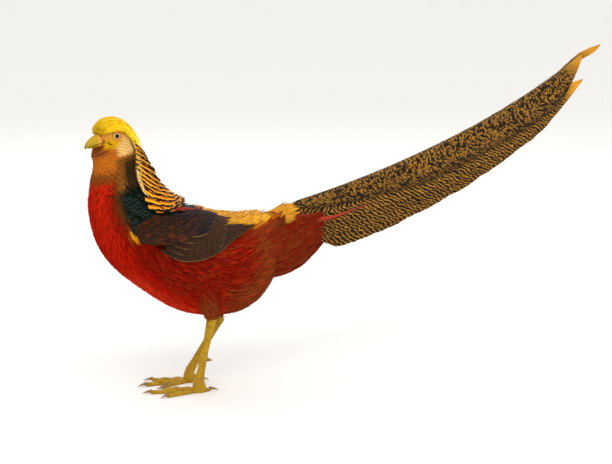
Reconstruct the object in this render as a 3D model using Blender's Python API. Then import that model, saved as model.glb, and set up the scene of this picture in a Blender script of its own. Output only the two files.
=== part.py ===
"""A golden pheasant cock, standing, at life size.

Metres, +X towards the bill, +Y to the bird's left, +Z up. The bird is first built with the floor
point midway between its feet at the origin, and is then moved so that the origin lies under the
middle of its box. Body, neck and head are one smooth loft along a spine, cut into nodes. Feathers
are vanes that lie on that loft, or on the roof-shaped fan of the tail, and are fused to the node
that they grow from.
"""

import math
import random

import bmesh
import bpy
import numpy as np
from mathutils import Vector

SIDES = (("left", 1), ("right", -1))

# Seeded draw for the small differences between like pieces.
DRAW = random.Random(5)

# Gap that touching nodes keep, and the thinnest vane.
GAP = 0.0004
VANE_THICK = 0.0007
# A feather's root: the share of its length that it takes, and how deep it is sunk.
ROOT_SHARE, ROOT_DEPTH = 0.10, 0.0030

# Spine of the body from tail root to bill: x, z, half width, rise above it, drop below it, and
# how far the plumage of the breast and throat pushes its underside forward.
BODY_STATIONS = [
    ("tail_root", -0.116, 0.186, 0.013, 0.012, 0.015, 0.0),
    ("rump", -0.092, 0.171, 0.031, 0.027, 0.043, 0.0),
    ("pelvis", -0.052, 0.154, 0.047, 0.045, 0.070, 0.0),
    ("belly", -0.008, 0.148, 0.056, 0.057, 0.063, 0.0),
    ("keel", 0.034, 0.162, 0.058, 0.056, 0.051, 0.0),
    ("breast", 0.064, 0.188, 0.053, 0.050, 0.049, 0.001),
    ("neck_base", 0.080, 0.218, 0.041, 0.040, 0.040, 0.005),
    ("mid_neck", 0.086, 0.246, 0.030, 0.031, 0.030, 0.008),
    ("upper_neck", 0.089, 0.266, 0.0225, 0.0230, 0.0235, 0.0085),
    ("nape", 0.092, 0.282, 0.0185, 0.0190, 0.0185, 0.0160),
    ("crown", 0.100, 0.2925, 0.0170, 0.0155, 0.0160, 0.017),
    ("lores", 0.110, 0.2932, 0.0128, 0.0122, 0.0130, 0.0168),
    ("bill_base", 0.118, 0.2922, 0.0080, 0.0078, 0.0095, 0.0),
]
# Direction of that push below level.
BIB_PITCH = math.radians(22)
SPAN_STEPS = 24
BODY_SIDES, TAIL_ROOT_SIDES = 24, 20
# Places along the spine, as shares of its length, where the loft is cut into nodes.
TAIL_CUT = 0.105
NECK_CUT = 0.700
HEAD_CUT = 0.875

# The head is turned to the bird's left, above the neck, about an upright axis.
HEAD_TURN = math.radians(12)
TURN_AXIS_X = 0.089
TURN_FROM_Z, TURN_TO_Z = 0.235, 0.285

# Eye: place along the spine and round the section, its radius and how far its middle is sunk.
EYE_S, EYE_ROUND, EYE_RADIUS, EYE_SINK = 0.960, math.radians(4), 0.0048, 0.0026
LID_RADIUS, LID_THICK, LID_SINK = 0.0050, 0.0009, 0.0004
# Nostril: how far along and up the bill, and its size.
NOSTRIL_ALONG, NOSTRIL_UP, NOSTRIL_SIZE = 0.22, 0.0042, (0.0024, 0.0012, 0.0010)

# Bill: lengths, half width, heights above and below the mouth line, and how far that sinks.
BILL_LENGTH, LOWER_BILL_SHARE, BILL_HALF_WIDTH = 0.0195, 0.78, 0.0064
BILL_RISE, BILL_DROP, BILL_SAG, MOUTH_DROP = 0.0092, 0.0034, 0.0030, 0.0046
# How far the upper half reaches below the mouth line, how far under that line the lower half lies,
# its rise and its share of the width.
UPPER_BILL_SAG, MOUTH_GAP, LOWER_BILL_RISE, LOWER_BILL_WIDTH = 0.0005, 0.0012, 0.0003, 0.9
BILL_SIDES = 14

# Tail: ridge line from its root, by length, heading away from straight back, and pitch.
TAIL_ROOT = (-0.092, 0.0, 0.194)
TAIL_LENGTH = 0.620
TAIL_HEADING, TAIL_HEADING_GAIN = math.radians(4), math.radians(14)
TAIL_PITCH, TAIL_PITCH_GAIN = math.radians(8.6), math.radians(12.9)
ROOF_RADIUS, ROOF_ANGLE = 0.014, math.radians(66)
RIDGE_STEPS = 60

# Tail feathers, a pair a row from the top down: share of the tail's length, place down the roof
# and width.
RECTRICES = [
    (1.02, 0.019, 0.042),
    (0.93, 0.029, 0.042),
    (0.85, 0.037, 0.040),
    (0.73, 0.043, 0.038),
    (0.61, 0.048, 0.036),
    (0.49, 0.052, 0.034),
    (0.37, 0.055, 0.032),
]
# The left one of the top pair is this much shorter.
LEFT_SHORTER = 0.055
RECTRIX_STEP, TAIL_SINK, TAIL_SINK_LENGTH = 0.0012, 0.009, 0.05
# Feathers over the tail's root: length and place down the roof, and the red-tipped long ones.
TAIL_COVERTS = [(0.075, 0.0), (0.080, 0.017), (0.070, 0.032), (0.055, 0.045)]
TAIL_SPIKES = [(0.185, 0.026), (0.150, 0.038)]
COVERT_LIFT, COVERT_WIDTH, COVERT_START = 0.0058, 0.022, -0.004
SPIKE_LIFT, SPIKE_WIDTH = 0.0012, 0.009
# The fan opens to its full spread over this length, from this share of it.
FAN_LENGTH, FAN_START = 0.08, 0.3

# Wing, from its front edge to its tip: share of the spine, middle and half height in degrees.
WING_STATIONS = [
    (0.672, -10, 13),
    (0.640, -4, 22),
    (0.590, 8, 29),
    (0.520, 23, 34),
    (0.430, 34, 29),
    (0.330, 42, 21),
    (0.230, 46, 13),
    (0.130, 46, 6),
]
# How far the wing's shield lies above the body and reaches into it, and its bulge along it.
SHIELD_LIFT, SHIELD_DEPTH = 0.0012, 0.002
WING_BULGE = [(0, 0.0012), (0.1, 0.0034), (0.3, 0.0046), (0.7, 0.0030), (1, 0.0008)]
# Wing feathers lie in lanes, from the lowest up. Tiers: first and last lane, where their roots and
# tips lie along the wing from the lowest lane to the highest.
LANE_LOW, LANE_STEP = -0.76, 0.38
WING_TIERS = [
    (0, 2, (0.46, 0.50), (1.00, 0.90)),
    (0, 4, (0.30, 0.36), (0.64, 0.84)),
    (0, 4, (0.15, 0.20), (0.44, 0.50)),
    (0, 4, (0.03, 0.05), (0.25, 0.29)),
]
# A wing feather's width in lanes, its height over the shield at the root, how much it rises to
# its tip, and how much higher each lane's lower edge lies than the next lane's.
LANE_LAP, WING_FLOAT, WING_RISE, LANE_RISE = 1.45, 0.0014, 0.0019, 0.0011

# Cape: rows of square-ended vanes down the neck, and their front edge in degrees at each row.
CAPE_TOP, CAPE_BOTTOM = 0.860, 0.718
CAPE_FRONT = [12, -2, -4, 2, 16]
CAPE_LENGTHS = (0.022, 0.041)
CAPE_WIDTHS = (0.0092, 0.0175)
# How far the feathers' ends stand off the neck: at its sides, and how much more at its back. The
# first bend's lift, and the share of the end's lift at the next.
CAPE_LIFT = (0.0046, 0.0034)
CAPE_FIRST_LIFT, CAPE_MIDDLE_SHARE = 0.0022, 0.7
CAPE_DRIFT = math.radians(22)

# Crest: tapered locks that rise from the forehead and lie back to the nape, in layers: how many,
# share of the spine, length, front edge in degrees, lift and width.
CREST_LAYERS = [
    (5, 0.992, 0.040, 36, 0.0064, 0.0066),
    (7, 0.962, 0.034, 20, 0.0042, 0.0070),
    (7, 0.930, 0.022, 10, 0.0032, 0.0074),
]
# Shares of that lift at a lock's bends, from its root on.
CREST_RISE = (0.8, 1.0, 0.9, 0.6)
CREST_DRIFT = math.radians(-14)

# Legs, left and right: place of the foot, its heading, and the lean of the shank.
FOOT_X = {"left": 0.005, "right": -0.0117}
FOOT_HEADING = {"left": -22.0, "right": -6.0}
SHANK_LEAN = {"left": math.radians(14), "right": math.radians(35.5)}
FOOT_Y = 0.025
HIP_X, HIP_Y, HIP_Z = 0.006, 0.034, 0.150
SHANK_LENGTH, ANKLE_HEIGHT = 0.070, 0.013
SHANK_SECTIONS = [
    (0.0, 0.0050, 0.0060),
    (0.12, 0.0040, 0.0050),
    (0.5, 0.0034, 0.0042),
    (0.85, 0.0042, 0.0054),
    (1.0, 0.0050, 0.0064),
]
THIGH_SECTIONS = [
    (0.0, 0.0064, 0.0080),
    (0.2, 0.0100, 0.0130),
    (0.5, 0.0170, 0.0220),
    (1.0, 0.0240, 0.0320),
]
# Toes: bearing inwards from the foot's own heading in degrees, length and radius.
TOES = {
    "middle": (0.0, 0.053, 0.0048),
    "inner": (22.0, 0.038, 0.0042),
    "outer": (-29.0, 0.042, 0.0043),
    "hind": (171.0, 0.011, 0.0036),
}
TOE_HEIGHT, TOE_TALL, TOE_JOINTS = 0.60, 0.80, 3
TOE_TAPER, TOE_SWELL = 0.40, 0.10
# Ball of the foot: share of the way up to the ankle, and size.
BALL_SECTIONS = [(-0.2, 0.0078), (0.35, 0.0084), (0.7, 0.0072), (1.0, 0.0058)]
CLAW_LENGTH, CLAW_RADIUS, CLAW_HEIGHT = 0.011, 0.0019, 0.0032
CLAW_TAPER, CLAW_TALL, CLAW_TIP_HEIGHT = 0.88, 1.15, 0.4
SPUR_LENGTH, SPUR_RADIUS, SPUR_SHARE = 0.0065, 0.0024, 0.34

COLOURS = {
    "red_plumage": (0.45, 0.02, 0.01, 0.7, 0.0),
    "gold_plumage": (0.85, 0.55, 0.03, 0.6, 0.0),
    "cape_plumage": (0.75, 0.30, 0.03, 0.6, 0.0),
    "brown_plumage": (0.10, 0.04, 0.025, 0.7, 0.0),
    "tail_plumage": (0.35, 0.20, 0.06, 0.7, 0.0),
    "leg_scale": (0.45, 0.33, 0.06, 0.55, 0.0),
    "horn": (0.50, 0.40, 0.12, 0.4, 0.0),
    "eye_glass": (0.55, 0.42, 0.16, 0.1, 0.0),
}


def clear_scene():
    for found in list(bpy.data.objects):
        bpy.data.objects.remove(found)


def material(name):
    """A plain Principled finish of this name."""
    made = bpy.data.materials.get(name)
    if made:
        return made
    red, green, blue, roughness, metallic = COLOURS[name]
    made = bpy.data.materials.new(name)
    made.use_nodes = True
    shader = made.node_tree.nodes["Principled BSDF"]
    shader.inputs["Base Color"].default_value = (red, green, blue, 1.0)
    shader.inputs["Roughness"].default_value = roughness
    shader.inputs["Metallic"].default_value = metallic
    return made


def through_points(rows, steps):
    """A smooth curve through the rows, with this many steps from each to the next."""
    rows = np.asarray(rows, float)
    rows = np.vstack([2 * rows[0] - rows[1], rows, 2 * rows[-1] - rows[-2]])
    found = []
    for before, start, end, after in zip(rows, rows[1:], rows[2:], rows[3:]):
        t = np.linspace(0, 1, steps, endpoint=False)[:, None]
        found.append(
            0.5
            * (
                2 * start
                + (end - before) * t
                + (2 * before - 5 * start + 4 * end - after) * t**2
                + (3 * start - before - 3 * end + after) * t**3
            )
        )
    return np.vstack([*found, rows[-2:-1]])


def spine_table():
    """Share of the spine's length, x, z, half width, rise, drop, push and slope, tail to bill."""
    rows = through_points([station[1:] for station in BODY_STATIONS], SPAN_STEPS)
    steps = np.hypot(*np.diff(rows[:, :2], axis=0).T)
    share = np.concatenate([[0], np.cumsum(steps)]) / steps.sum()
    slope = np.unwrap(np.arctan2(*np.gradient(rows[:, :2], axis=0).T[::-1]))
    return np.column_stack([share, rows, slope])


SPINE = spine_table()
SMALL_STEP = 1e-3
# Where the face ends and the bill begins.
FACE_S = 1 - 2 * SMALL_STEP


def turned(points):
    """The points with the head's turn given to those above the neck."""
    x, y, z = np.moveaxis(np.asarray(points, float), -1, 0)
    share = np.clip((z - TURN_FROM_Z) / (TURN_TO_Z - TURN_FROM_Z), 0, 1)
    angle = HEAD_TURN * share * share * (3 - 2 * share)
    reach = x - TURN_AXIS_X
    return np.stack(
        [
            TURN_AXIS_X + reach * np.cos(angle) - y * np.sin(angle),
            reach * np.sin(angle) + y * np.cos(angle),
            z,
        ],
        -1,
    )


def on_body(s, around):
    """Points of the loft at share s of the spine, around from the bird's left over its back."""
    s, around = np.broadcast_arrays(np.asarray(s, float), np.asarray(around, float))
    row = [np.interp(s, SPINE[:, 0], SPINE[:, k]) for k in range(1, 8)]
    x, z, half, rise, drop, push, slope = row
    high = np.where(np.sin(around) > 0, rise, drop) * np.sin(around)
    push = push * np.clip(-np.sin(around), 0, 1) ** 1.5
    x = x - np.sin(slope) * high + push * math.cos(BIB_PITCH)
    z = z + np.cos(slope) * high - push * math.sin(BIB_PITCH)
    return turned(np.stack([x, half * np.cos(around), z], -1))


def body_sides(s, around):
    """Metres for each unit of s and of around, and the outward normal, on the loft."""
    along = (on_body(s + SMALL_STEP, around) - on_body(s - SMALL_STEP, around)) / (2 * SMALL_STEP)
    across = (on_body(s, around + SMALL_STEP) - on_body(s, around - SMALL_STEP)) / (2 * SMALL_STEP)
    normal = np.cross(across, along)
    normal /= np.linalg.norm(normal, axis=-1, keepdims=True)
    return np.linalg.norm(along, axis=-1), np.linalg.norm(across, axis=-1), normal


def above_body(s, around, lift):
    """Points this far above the loft."""
    s, around, lift = np.broadcast_arrays(*(np.asarray(v, float) for v in (s, around, lift)))
    inside = np.clip(s, 2 * SMALL_STEP, 1 - 2 * SMALL_STEP)
    return on_body(inside, around) + body_sides(inside, around)[2] * lift[..., None]


def mesh_object(name, points, faces, finish):
    """A closed mesh object with its faces pointing out."""
    made = bmesh.new()
    corners = [made.verts.new(point) for point in points]
    for face in faces:
        made.faces.new([corners[k] for k in face])
    bmesh.ops.recalc_face_normals(made, faces=made.faces)
    data = bpy.data.meshes.new(name)
    made.to_mesh(data)
    made.free()
    shown = bpy.data.objects.new(name, data)
    shown.data.materials.append(material(finish))
    data.shade_smooth()
    bpy.context.scene.collection.objects.link(shown)
    return shown


def loft(name, rings, finish):
    """A closed solid through rings of equally many points, with flat or pointed ends."""
    count, sides = len(rings), len(rings[0])
    points = [point for ring in rings for point in ring]
    faces = []
    for i in range(count - 1):
        for j in range(sides):
            k = (j + 1) % sides
            faces.append(
                (i * sides + j, i * sides + k, (i + 1) * sides + k, (i + 1) * sides + j)
            )
    for i in (0, count - 1):
        points.append(np.mean(rings[i], axis=0))
        for j in range(sides):
            faces.append((len(points) - 1, i * sides + j, i * sides + (j + 1) % sides))
    return mesh_object(name, points, faces, finish)


def vane(name, upper, lower, finish):
    """A thin closed sheet between two like grids of points, split into triangles alike."""
    rows, columns = upper.shape[:2]
    size = rows * columns
    points = np.vstack([upper.reshape(-1, 3), lower.reshape(-1, 3)])
    faces = []
    for i in range(rows - 1):
        for j in range(columns - 1):
            a, b = i * columns + j, i * columns + j + 1
            c, d = a + columns, b + columns
            for near, far, last in ((a, b, d), (a, d, c)):
                faces.append((near, far, last))
                faces.append((near + size, last + size, far + size))
    rim = list(range(columns))
    rim += [i * columns + columns - 1 for i in range(1, rows)]
    rim += [(rows - 1) * columns + j for j in range(columns - 2, -1, -1)]
    rim += [i * columns for i in range(rows - 2, 0, -1)]
    for start, end in zip(rim, rim[1:] + rim[:1]):
        faces.append((start, end, end + size))
        faces.append((start, end + size, start + size))
    return mesh_object(name, points, faces, finish)


def stages(steps):
    """Shares of a feather's length at which it bends: its short root first."""
    return np.concatenate([[0.0], np.linspace(ROOT_SHARE, 1, steps)])


def blade(t, tip, sharp=0.5):
    """Share of a feather's full width at share t of its length. It closes from tip on."""
    t = np.asarray(t, float)
    opening = 0.35 + 0.65 * np.clip(t / 0.4, 0, 1)
    closing = np.clip((t - tip) / (1 - tip), 0, 1)
    return opening * np.clip(1 - 0.97 * closing**2, 0, 1) ** sharp


def lie_of(s, around, length, shares, drift):
    """Places down the body from a root, for a feather of this length that leans by drift."""
    places = [(s, around)]
    for step in np.diff(shares):
        along, across, _ = body_sides(np.array(max(s, 0.004)), np.array(around))
        s -= math.cos(drift) * length * step / float(along)
        around += math.sin(drift) * length * step / float(across)
        places.append((s, around))
    return np.array(places)


def body_vane(root, length, width, lifts, finish, drift=0.0, tip=0.6, sharp=0.5):
    """A feather on the loft, from its root place, with its lift at each of its bends."""
    t = stages(len(lifts) - 1)
    places = lie_of(*root, length, t, drift)
    across = body_sides(np.clip(places[:, 0], 0.01, 0.99), places[:, 1])[1]
    half = 0.5 * width * blade(t, tip, sharp) / across
    cols = np.array([-1, 1])
    s = np.repeat(places[:, :1], 2, axis=1)
    around = places[:, 1:] + half[:, None] * cols
    lift = np.array(lifts)[:, None]
    depth = VANE_THICK * np.where(t > 0.99, 0.6, 1.0)[:, None]
    return vane("vane", above_body(s, around, lift + depth), above_body(s, around, lift), finish)


def keep_largest(thing):
    """Leaves the object's largest closed surface, and drops the scraps and hollows of a union."""
    made = bmesh.new()
    made.from_mesh(thing.data)
    bmesh.ops.triangulate(made, faces=made.faces)
    left = set(made.faces)
    groups = []
    while left:
        group, front = [], [left.pop()]
        while front:
            face = front.pop()
            group.append(face)
            for edge in face.edges:
                for other in edge.link_faces:
                    if other in left:
                        left.discard(other)
                        front.append(other)
        groups.append(group)
    groups.sort(key=lambda g: sum(f.calc_area() for f in g))
    for group in groups[:-1]:
        bmesh.ops.delete(made, geom=group, context="FACES")
    made.to_mesh(thing.data)
    made.free()


def boolean(thing, others, operation):
    """Joins or cuts thing with a collection of closed meshes, applies it and removes them."""
    if not others:
        return thing
    group = bpy.data.collections.new("pieces")
    bpy.context.scene.collection.children.link(group)
    for other in others:
        for holder in other.users_collection:
            holder.objects.unlink(other)
        group.objects.link(other)
    step = thing.modifiers.new("join", "BOOLEAN")
    step.operation = operation
    step.operand_type = "COLLECTION"
    step.collection = group
    step.solver = "MANIFOLD"
    graph = bpy.context.evaluated_depsgraph_get()
    data = bpy.data.meshes.new_from_object(thing.evaluated_get(graph))
    thing.modifiers.clear()
    thing.data = data
    for other in others:
        bpy.data.objects.remove(other)
    bpy.data.collections.remove(group)
    keep_largest(thing)
    return thing


def body_loft(name, places, sides, finish, lift=0.0):
    """The stretch of the loft through these shares of the spine, as a closed solid."""
    around = np.linspace(0, 2 * math.pi, sides, endpoint=False)
    return loft(name, [above_body(np.full(sides, s), around, lift) for s in places], finish)


# Share of the spine that the gap at a cut takes up.
CUT_GAP = GAP / float(np.hypot(*np.diff(SPINE[:, 1:3], axis=0).T).sum())
TORSO_PLACES = np.linspace(TAIL_CUT + CUT_GAP, NECK_CUT, 16)


def make_torso():
    return body_loft("torso", TORSO_PLACES, BODY_SIDES, "red_plumage")


def torso_cutter():
    """The torso made larger by the gap and longer at both ends, to cut what lies on it."""
    places = [TAIL_CUT - 0.03, *TORSO_PLACES, NECK_CUT + 0.05]
    return body_loft("torso_cutter", places, BODY_SIDES, "red_plumage", GAP)


def make_neck():
    """The neck with its cape, which hangs free over the shoulders."""
    places = np.linspace(NECK_CUT + CUT_GAP, HEAD_CUT, 7)
    core = body_loft("neck", places, BODY_SIDES, "cape_plumage")
    vanes = []
    for row, front in enumerate(CAPE_FRONT):
        share = row / (len(CAPE_FRONT) - 1)
        s = CAPE_TOP + (CAPE_BOTTOM - CAPE_TOP) * share
        count = 6 + row % 2
        for k in range(count):
            place = (k + 0.5) / count
            around = math.radians(front + (180 - 2 * front) * place)
            back = max(math.sin(around), 0.0)
            length = np.interp(share, [0, 1], CAPE_LENGTHS) * (0.55 + 0.45 * back)
            lift = CAPE_LIFT[0] + CAPE_LIFT[1] * (1 - share * 0.5) * back
            drift = CAPE_DRIFT * math.cos(around)
            width = np.interp(share, [0, 1], CAPE_WIDTHS)
            lifts = (-ROOT_DEPTH, CAPE_FIRST_LIFT, lift * CAPE_MIDDLE_SHARE, lift)
            vanes.append(
                body_vane((s, around), length, width, lifts, "cape_plumage", drift, tip=0.8)
            )
    return boolean(core, vanes, "UNION")


def eye_middle(side):
    """Middle of the eyeball."""
    around = EYE_ROUND if side > 0 else math.pi - EYE_ROUND
    return above_body(EYE_S, around, -EYE_SINK)


def make_lid(side):
    """A swollen ring of bare skin that the eye looks out of."""
    around = EYE_ROUND if side > 0 else math.pi - EYE_ROUND
    normal = Vector(body_sides(np.array(EYE_S), np.array(around))[2])
    bpy.ops.mesh.primitive_torus_add(
        major_segments=12,
        minor_segments=4,
        major_radius=LID_RADIUS,
        minor_radius=LID_THICK,
        location=above_body(EYE_S, around, -LID_SINK),
        rotation=normal.to_track_quat("Z", "Y").to_euler(),
    )
    return bpy.context.object


def make_crest():
    """Locks in layers, from the forehead's own ones to those at the nape."""
    locks = []
    for count, s, length, front, lift, width in CREST_LAYERS:
        for k in range(count):
            around = math.radians(front + (180 - 2 * front) * (k + 0.5) / count)
            rise = lift * (0.35 + 0.65 * math.sin(around))
            reach = length * DRAW.uniform(0.9, 1.08)
            drift = CREST_DRIFT * math.cos(around)
            lifts = (-ROOT_DEPTH, *(rise * part for part in CREST_RISE))
            locks.append(
                body_vane((s, around), reach, width, lifts, "gold_plumage", drift, tip=0.35,
                          sharp=1.2)
            )
    return locks


def make_head():
    places = np.linspace(HEAD_CUT + CUT_GAP, FACE_S, 11)
    core = body_loft("head", places, BODY_SIDES, "gold_plumage")
    boolean(core, [*make_crest(), make_lid(1), make_lid(-1)], "UNION")
    cutters = []
    for side in (1, -1):
        bpy.ops.mesh.primitive_uv_sphere_add(
            segments=12, ring_count=8, radius=EYE_RADIUS + GAP, location=eye_middle(side)
        )
        cutters.append(bpy.context.object)
    return boolean(core, cutters, "DIFFERENCE")


def make_eyes():
    for name, side in SIDES:
        bpy.ops.mesh.primitive_uv_sphere_add(
            segments=12, ring_count=8, radius=EYE_RADIUS, location=eye_middle(side)
        )
        eye = bpy.context.object
        eye.name = f"eye_{name}"
        eye.data.materials.append(material("eye_glass"))


def tail_ridge():
    """Points, back, side and up directions along the ridge of the tail."""
    t = np.linspace(0, 1, RIDGE_STEPS + 1)
    heading = TAIL_HEADING + TAIL_HEADING_GAIN * t
    pitch = TAIL_PITCH + TAIL_PITCH_GAIN * t
    back = np.stack(
        [-np.cos(heading) * np.cos(pitch), -np.sin(heading) * np.cos(pitch), np.sin(pitch)], -1
    )
    steps = back[:-1] * TAIL_LENGTH / RIDGE_STEPS
    points = np.array(TAIL_ROOT) + np.vstack([np.zeros(3), np.cumsum(steps, axis=0)])
    side = np.stack([-np.sin(heading), np.cos(heading), 0 * t], -1)
    return points, back, side, np.cross(back, side) * -1.0


RIDGE = tail_ridge()


def on_tail(t, q, lift):
    """Points of the tail's roof: t metres behind its root, q metres down its left side."""
    t, q, lift = np.broadcast_arrays(*(np.asarray(v, float) for v in (t, q, lift)))
    share = t / TAIL_LENGTH * RIDGE_STEPS
    low = np.clip(np.floor(share), 0, RIDGE_STEPS - 1).astype(int)
    part = (share - low)[..., None]
    point, _, side, up = (a[low] + (a[low + 1] - a[low]) * part for a in RIDGE)
    bend = np.clip(np.abs(q) / ROOF_RADIUS, 0, ROOF_ANGLE)
    rest = np.clip(np.abs(q) - ROOF_RADIUS * ROOF_ANGLE, 0, None)
    out = ROOF_RADIUS * np.sin(bend) + rest * math.cos(ROOF_ANGLE) + lift * np.sin(bend)
    down = ROOF_RADIUS * (1 - np.cos(bend)) + rest * math.sin(ROOF_ANGLE) - lift * np.cos(bend)
    return point + side * (np.sign(q) * out)[..., None] - up * down[..., None]


def tail_vane(start, length, middle, width, lift, finish, steps=9, columns=1, tip=0.72,
              sharp=1.0, converge=False):
    """One tail feather, from start to length metres behind the tail's root."""
    t = np.linspace(0, 1, steps + 1)
    along = start + (length - start) * t
    spread = np.clip(FAN_START + (1 - FAN_START) * along / FAN_LENGTH, FAN_START, 1)[:, None]
    sunk = TAIL_SINK * np.clip(1 - along / TAIL_SINK_LENGTH, 0, 1)[:, None]
    cols = np.linspace(-1, 1, columns + 1)
    if converge:
        middle = middle * blade(t, 1 - SMALL_STEP)[:, None]
    across = middle * spread + 0.5 * width * blade(t, tip, sharp)[:, None] * spread * cols
    rise = lift - sunk + 0 * cols
    depth = VANE_THICK * np.where(t > 0.99, 0.6, 1.0)[:, None]
    return vane(
        "vane",
        on_tail(along[:, None], across, rise + depth),
        on_tail(along[:, None], across, rise),
        finish,
    )


def make_tail():
    """The tail's root with its long feathers, a pair under a pair, and the feathers over them."""
    places = np.linspace(0.004, TAIL_CUT, 6)
    core = body_loft("tail", places, TAIL_ROOT_SIDES, "tail_plumage")
    vanes = []
    for row, (share, middle, width) in enumerate(RECTRICES):
        for side in (1, -1):
            lift = -RECTRIX_STEP * (row + (row > 0 or side < 0))
            length = TAIL_LENGTH * (share - LEFT_SHORTER * (row == 0 and side > 0))
            steps = max(4, round(8 * share))
            vanes.append(
                tail_vane(0.0, length, side * middle, width, lift, "tail_plumage", steps,
                          2 if row == 0 else 1, converge=row == 0)
            )
    for row, (length, middle) in enumerate(TAIL_COVERTS):
        lift = COVERT_LIFT - RECTRIX_STEP * row
        for side in (1, -1) if middle else (1,):
            vanes.append(
                tail_vane(COVERT_START, length, side * middle, COVERT_WIDTH, lift,
                          "gold_plumage", 4, tip=0.5)
            )
    for length, middle in TAIL_SPIKES:
        for side in (1, -1):
            vanes.append(
                tail_vane(0.0, length, side * middle, SPIKE_WIDTH, SPIKE_LIFT, "red_plumage", 4,
                          tip=0.4)
            )
    return boolean(core, vanes, "UNION")


WING = through_points([(k / 7, *station) for k, station in enumerate(WING_STATIONS)], 8)


def wing_place(u, v):
    """Share of the spine, angle round the body and lift of the shield, u along it and v across."""
    s, middle, half = (np.interp(u, WING[:, 0], WING[:, k]) for k in (1, 2, 3))
    bulge = np.interp(u, *zip(*WING_BULGE))
    edge = np.sqrt(np.clip(1 - np.asarray(v) ** 2, 0.04, 1))
    return s + 0 * v, np.radians(middle + half * v), SHIELD_LIFT + bulge * edge


def wing_points(side, s, around, lift):
    """Points over the loft, for the left wing or mirrored for the right."""
    return above_body(s, around if side > 0 else math.pi - around, lift)


def wing_vane(side, lane, root, tip, steps=4):
    """A wing feather along its lane, from root to tip as shares of the wing's length."""
    t = stages(steps)[:, None]
    turn = 0.5 * LANE_LAP * LANE_STEP * blade(t, 0.7) * np.array([-1, 1])
    v = LANE_LOW + LANE_STEP * lane + turn
    s, around, base = wing_place(root + (tip - root) * t, v)
    rise = base + WING_FLOAT + WING_RISE * t - LANE_RISE * (turn / LANE_STEP - LANE_LAP / 2)
    rise = np.where(t > 0, rise, -ROOT_DEPTH / 2)
    depth = VANE_THICK * np.where(t > 0.99, 0.6, 1.0)
    upper = wing_points(side, s, around, rise + depth)
    return vane("vane", upper, wing_points(side, s, around, rise), "brown_plumage")


def make_wing(side_name, side):
    """The folded wing: a low shield on the side of the body, with its feathers in tiers."""
    u = np.linspace(0, 1, 12)[:, None]
    v = np.linspace(-1, 1, 7)[None, :]
    s, around, lift = wing_place(u, v)
    upper = wing_points(side, s, around, lift)
    lower = wing_points(side, s, around, np.full_like(lift, -SHIELD_DEPTH))
    shield = vane(f"wing_{side_name}", upper, lower, "brown_plumage")
    vanes = []
    for first, last, roots, tips in WING_TIERS:
        for lane in range(first, last + 1):
            share = (lane - first) / (last - first)
            root, tip = (low + (high - low) * share for low, high in (roots, tips))
            vanes.append(wing_vane(side, lane, root, tip))
    boolean(shield, vanes, "UNION")
    return boolean(shield, [torso_cutter()], "DIFFERENCE")


def ring(middle, forward, half_width, rise, sides, drop=None):
    """An oval ring round middle, square to forward, this far out to each side, up and down."""
    forward = Vector(forward).normalized()
    side = Vector((0, 0, 1)).cross(forward)
    if side.length < 1e-3:
        side = Vector((0, -1, 0))
    side.normalize()
    up = forward.cross(side)
    drop = rise if drop is None else drop
    found = []
    for k in range(sides):
        angle = 2 * math.pi * k / sides
        high = rise if math.sin(angle) > 0 else drop
        point = Vector(middle) + side * half_width * math.cos(angle) + up * high * math.sin(angle)
        found.append(tuple(point))
    return found


def bill_size(t):
    """Share of the bill's full width and height, t of its length ahead of the face."""
    return math.sqrt(1 - 0.98 * t**1.7)


def mouth_line(t):
    """Middle of the closed mouth, t of the upper bill's length ahead of the face."""
    base = (on_body(FACE_S, 0.0) + on_body(FACE_S, math.pi)) / 2
    level = math.cos(SPINE[-1, 7])
    heading = Vector(
        (math.cos(HEAD_TURN) * level, math.sin(HEAD_TURN) * level, math.sin(SPINE[-1, 7]))
    )
    point = Vector(base) + heading * (GAP + BILL_LENGTH * t)
    point.z -= MOUTH_DROP + BILL_SAG * t**2.2
    return point, heading


def make_bill():
    """Both halves of the bill, with the mouth's line between them and a nostril on each side."""
    upper, lower = [], []
    for t in (0.0, 0.2, 0.4, 0.6, 0.8, 0.93, 1.0):
        middle, heading = mouth_line(t)
        size = bill_size(t)
        upper.append(
            ring(middle, heading, BILL_HALF_WIDTH * size, BILL_RISE * size, BILL_SIDES,
                 UPPER_BILL_SAG)
        )
        t *= LOWER_BILL_SHARE
        middle, heading = mouth_line(t)
        middle.z -= MOUTH_GAP
        width = BILL_HALF_WIDTH * bill_size(t) * LOWER_BILL_WIDTH
        lower.append(ring(middle, heading, width, LOWER_BILL_RISE, BILL_SIDES, BILL_DROP * size))
    bill = loft("bill_upper", upper, "horn")
    loft("bill_lower", lower, "horn")
    middle, heading = mouth_line(NOSTRIL_ALONG)
    across = Vector((-heading.y, heading.x, 0)).normalized()
    nostrils = []
    for side in (1, -1):
        size = bill_size(NOSTRIL_ALONG)
        up = NOSTRIL_UP / (BILL_RISE * size)
        out = BILL_HALF_WIDTH * size * math.sqrt(1 - up * up)
        bpy.ops.mesh.primitive_uv_sphere_add(segments=10, ring_count=6, radius=1.0)
        nostril = bpy.context.object
        nostril.scale = NOSTRIL_SIZE
        nostril.rotation_euler = heading.to_track_quat("X", "Z").to_euler()
        nostril.location = middle + across * side * out + Vector((0, 0, NOSTRIL_UP))
        nostrils.append(nostril)
    boolean(bill, nostrils, "DIFFERENCE")


def toe_rings(start, direction, length, radius):
    """Rings of a toe with a swelling at each joint, sunk a little below the floor."""
    rings = []
    for t in np.linspace(0, 1, 7):
        swell = 1 + TOE_SWELL * math.cos(t * TOE_JOINTS * 2 * math.pi)
        size = radius * (1 - TOE_TAPER * t) * swell
        middle = Vector(start) + direction * length * t + Vector((0, 0, size * TOE_HEIGHT))
        rings.append(ring(middle, direction, size, size * TOE_TALL, 8))
    return rings


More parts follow.
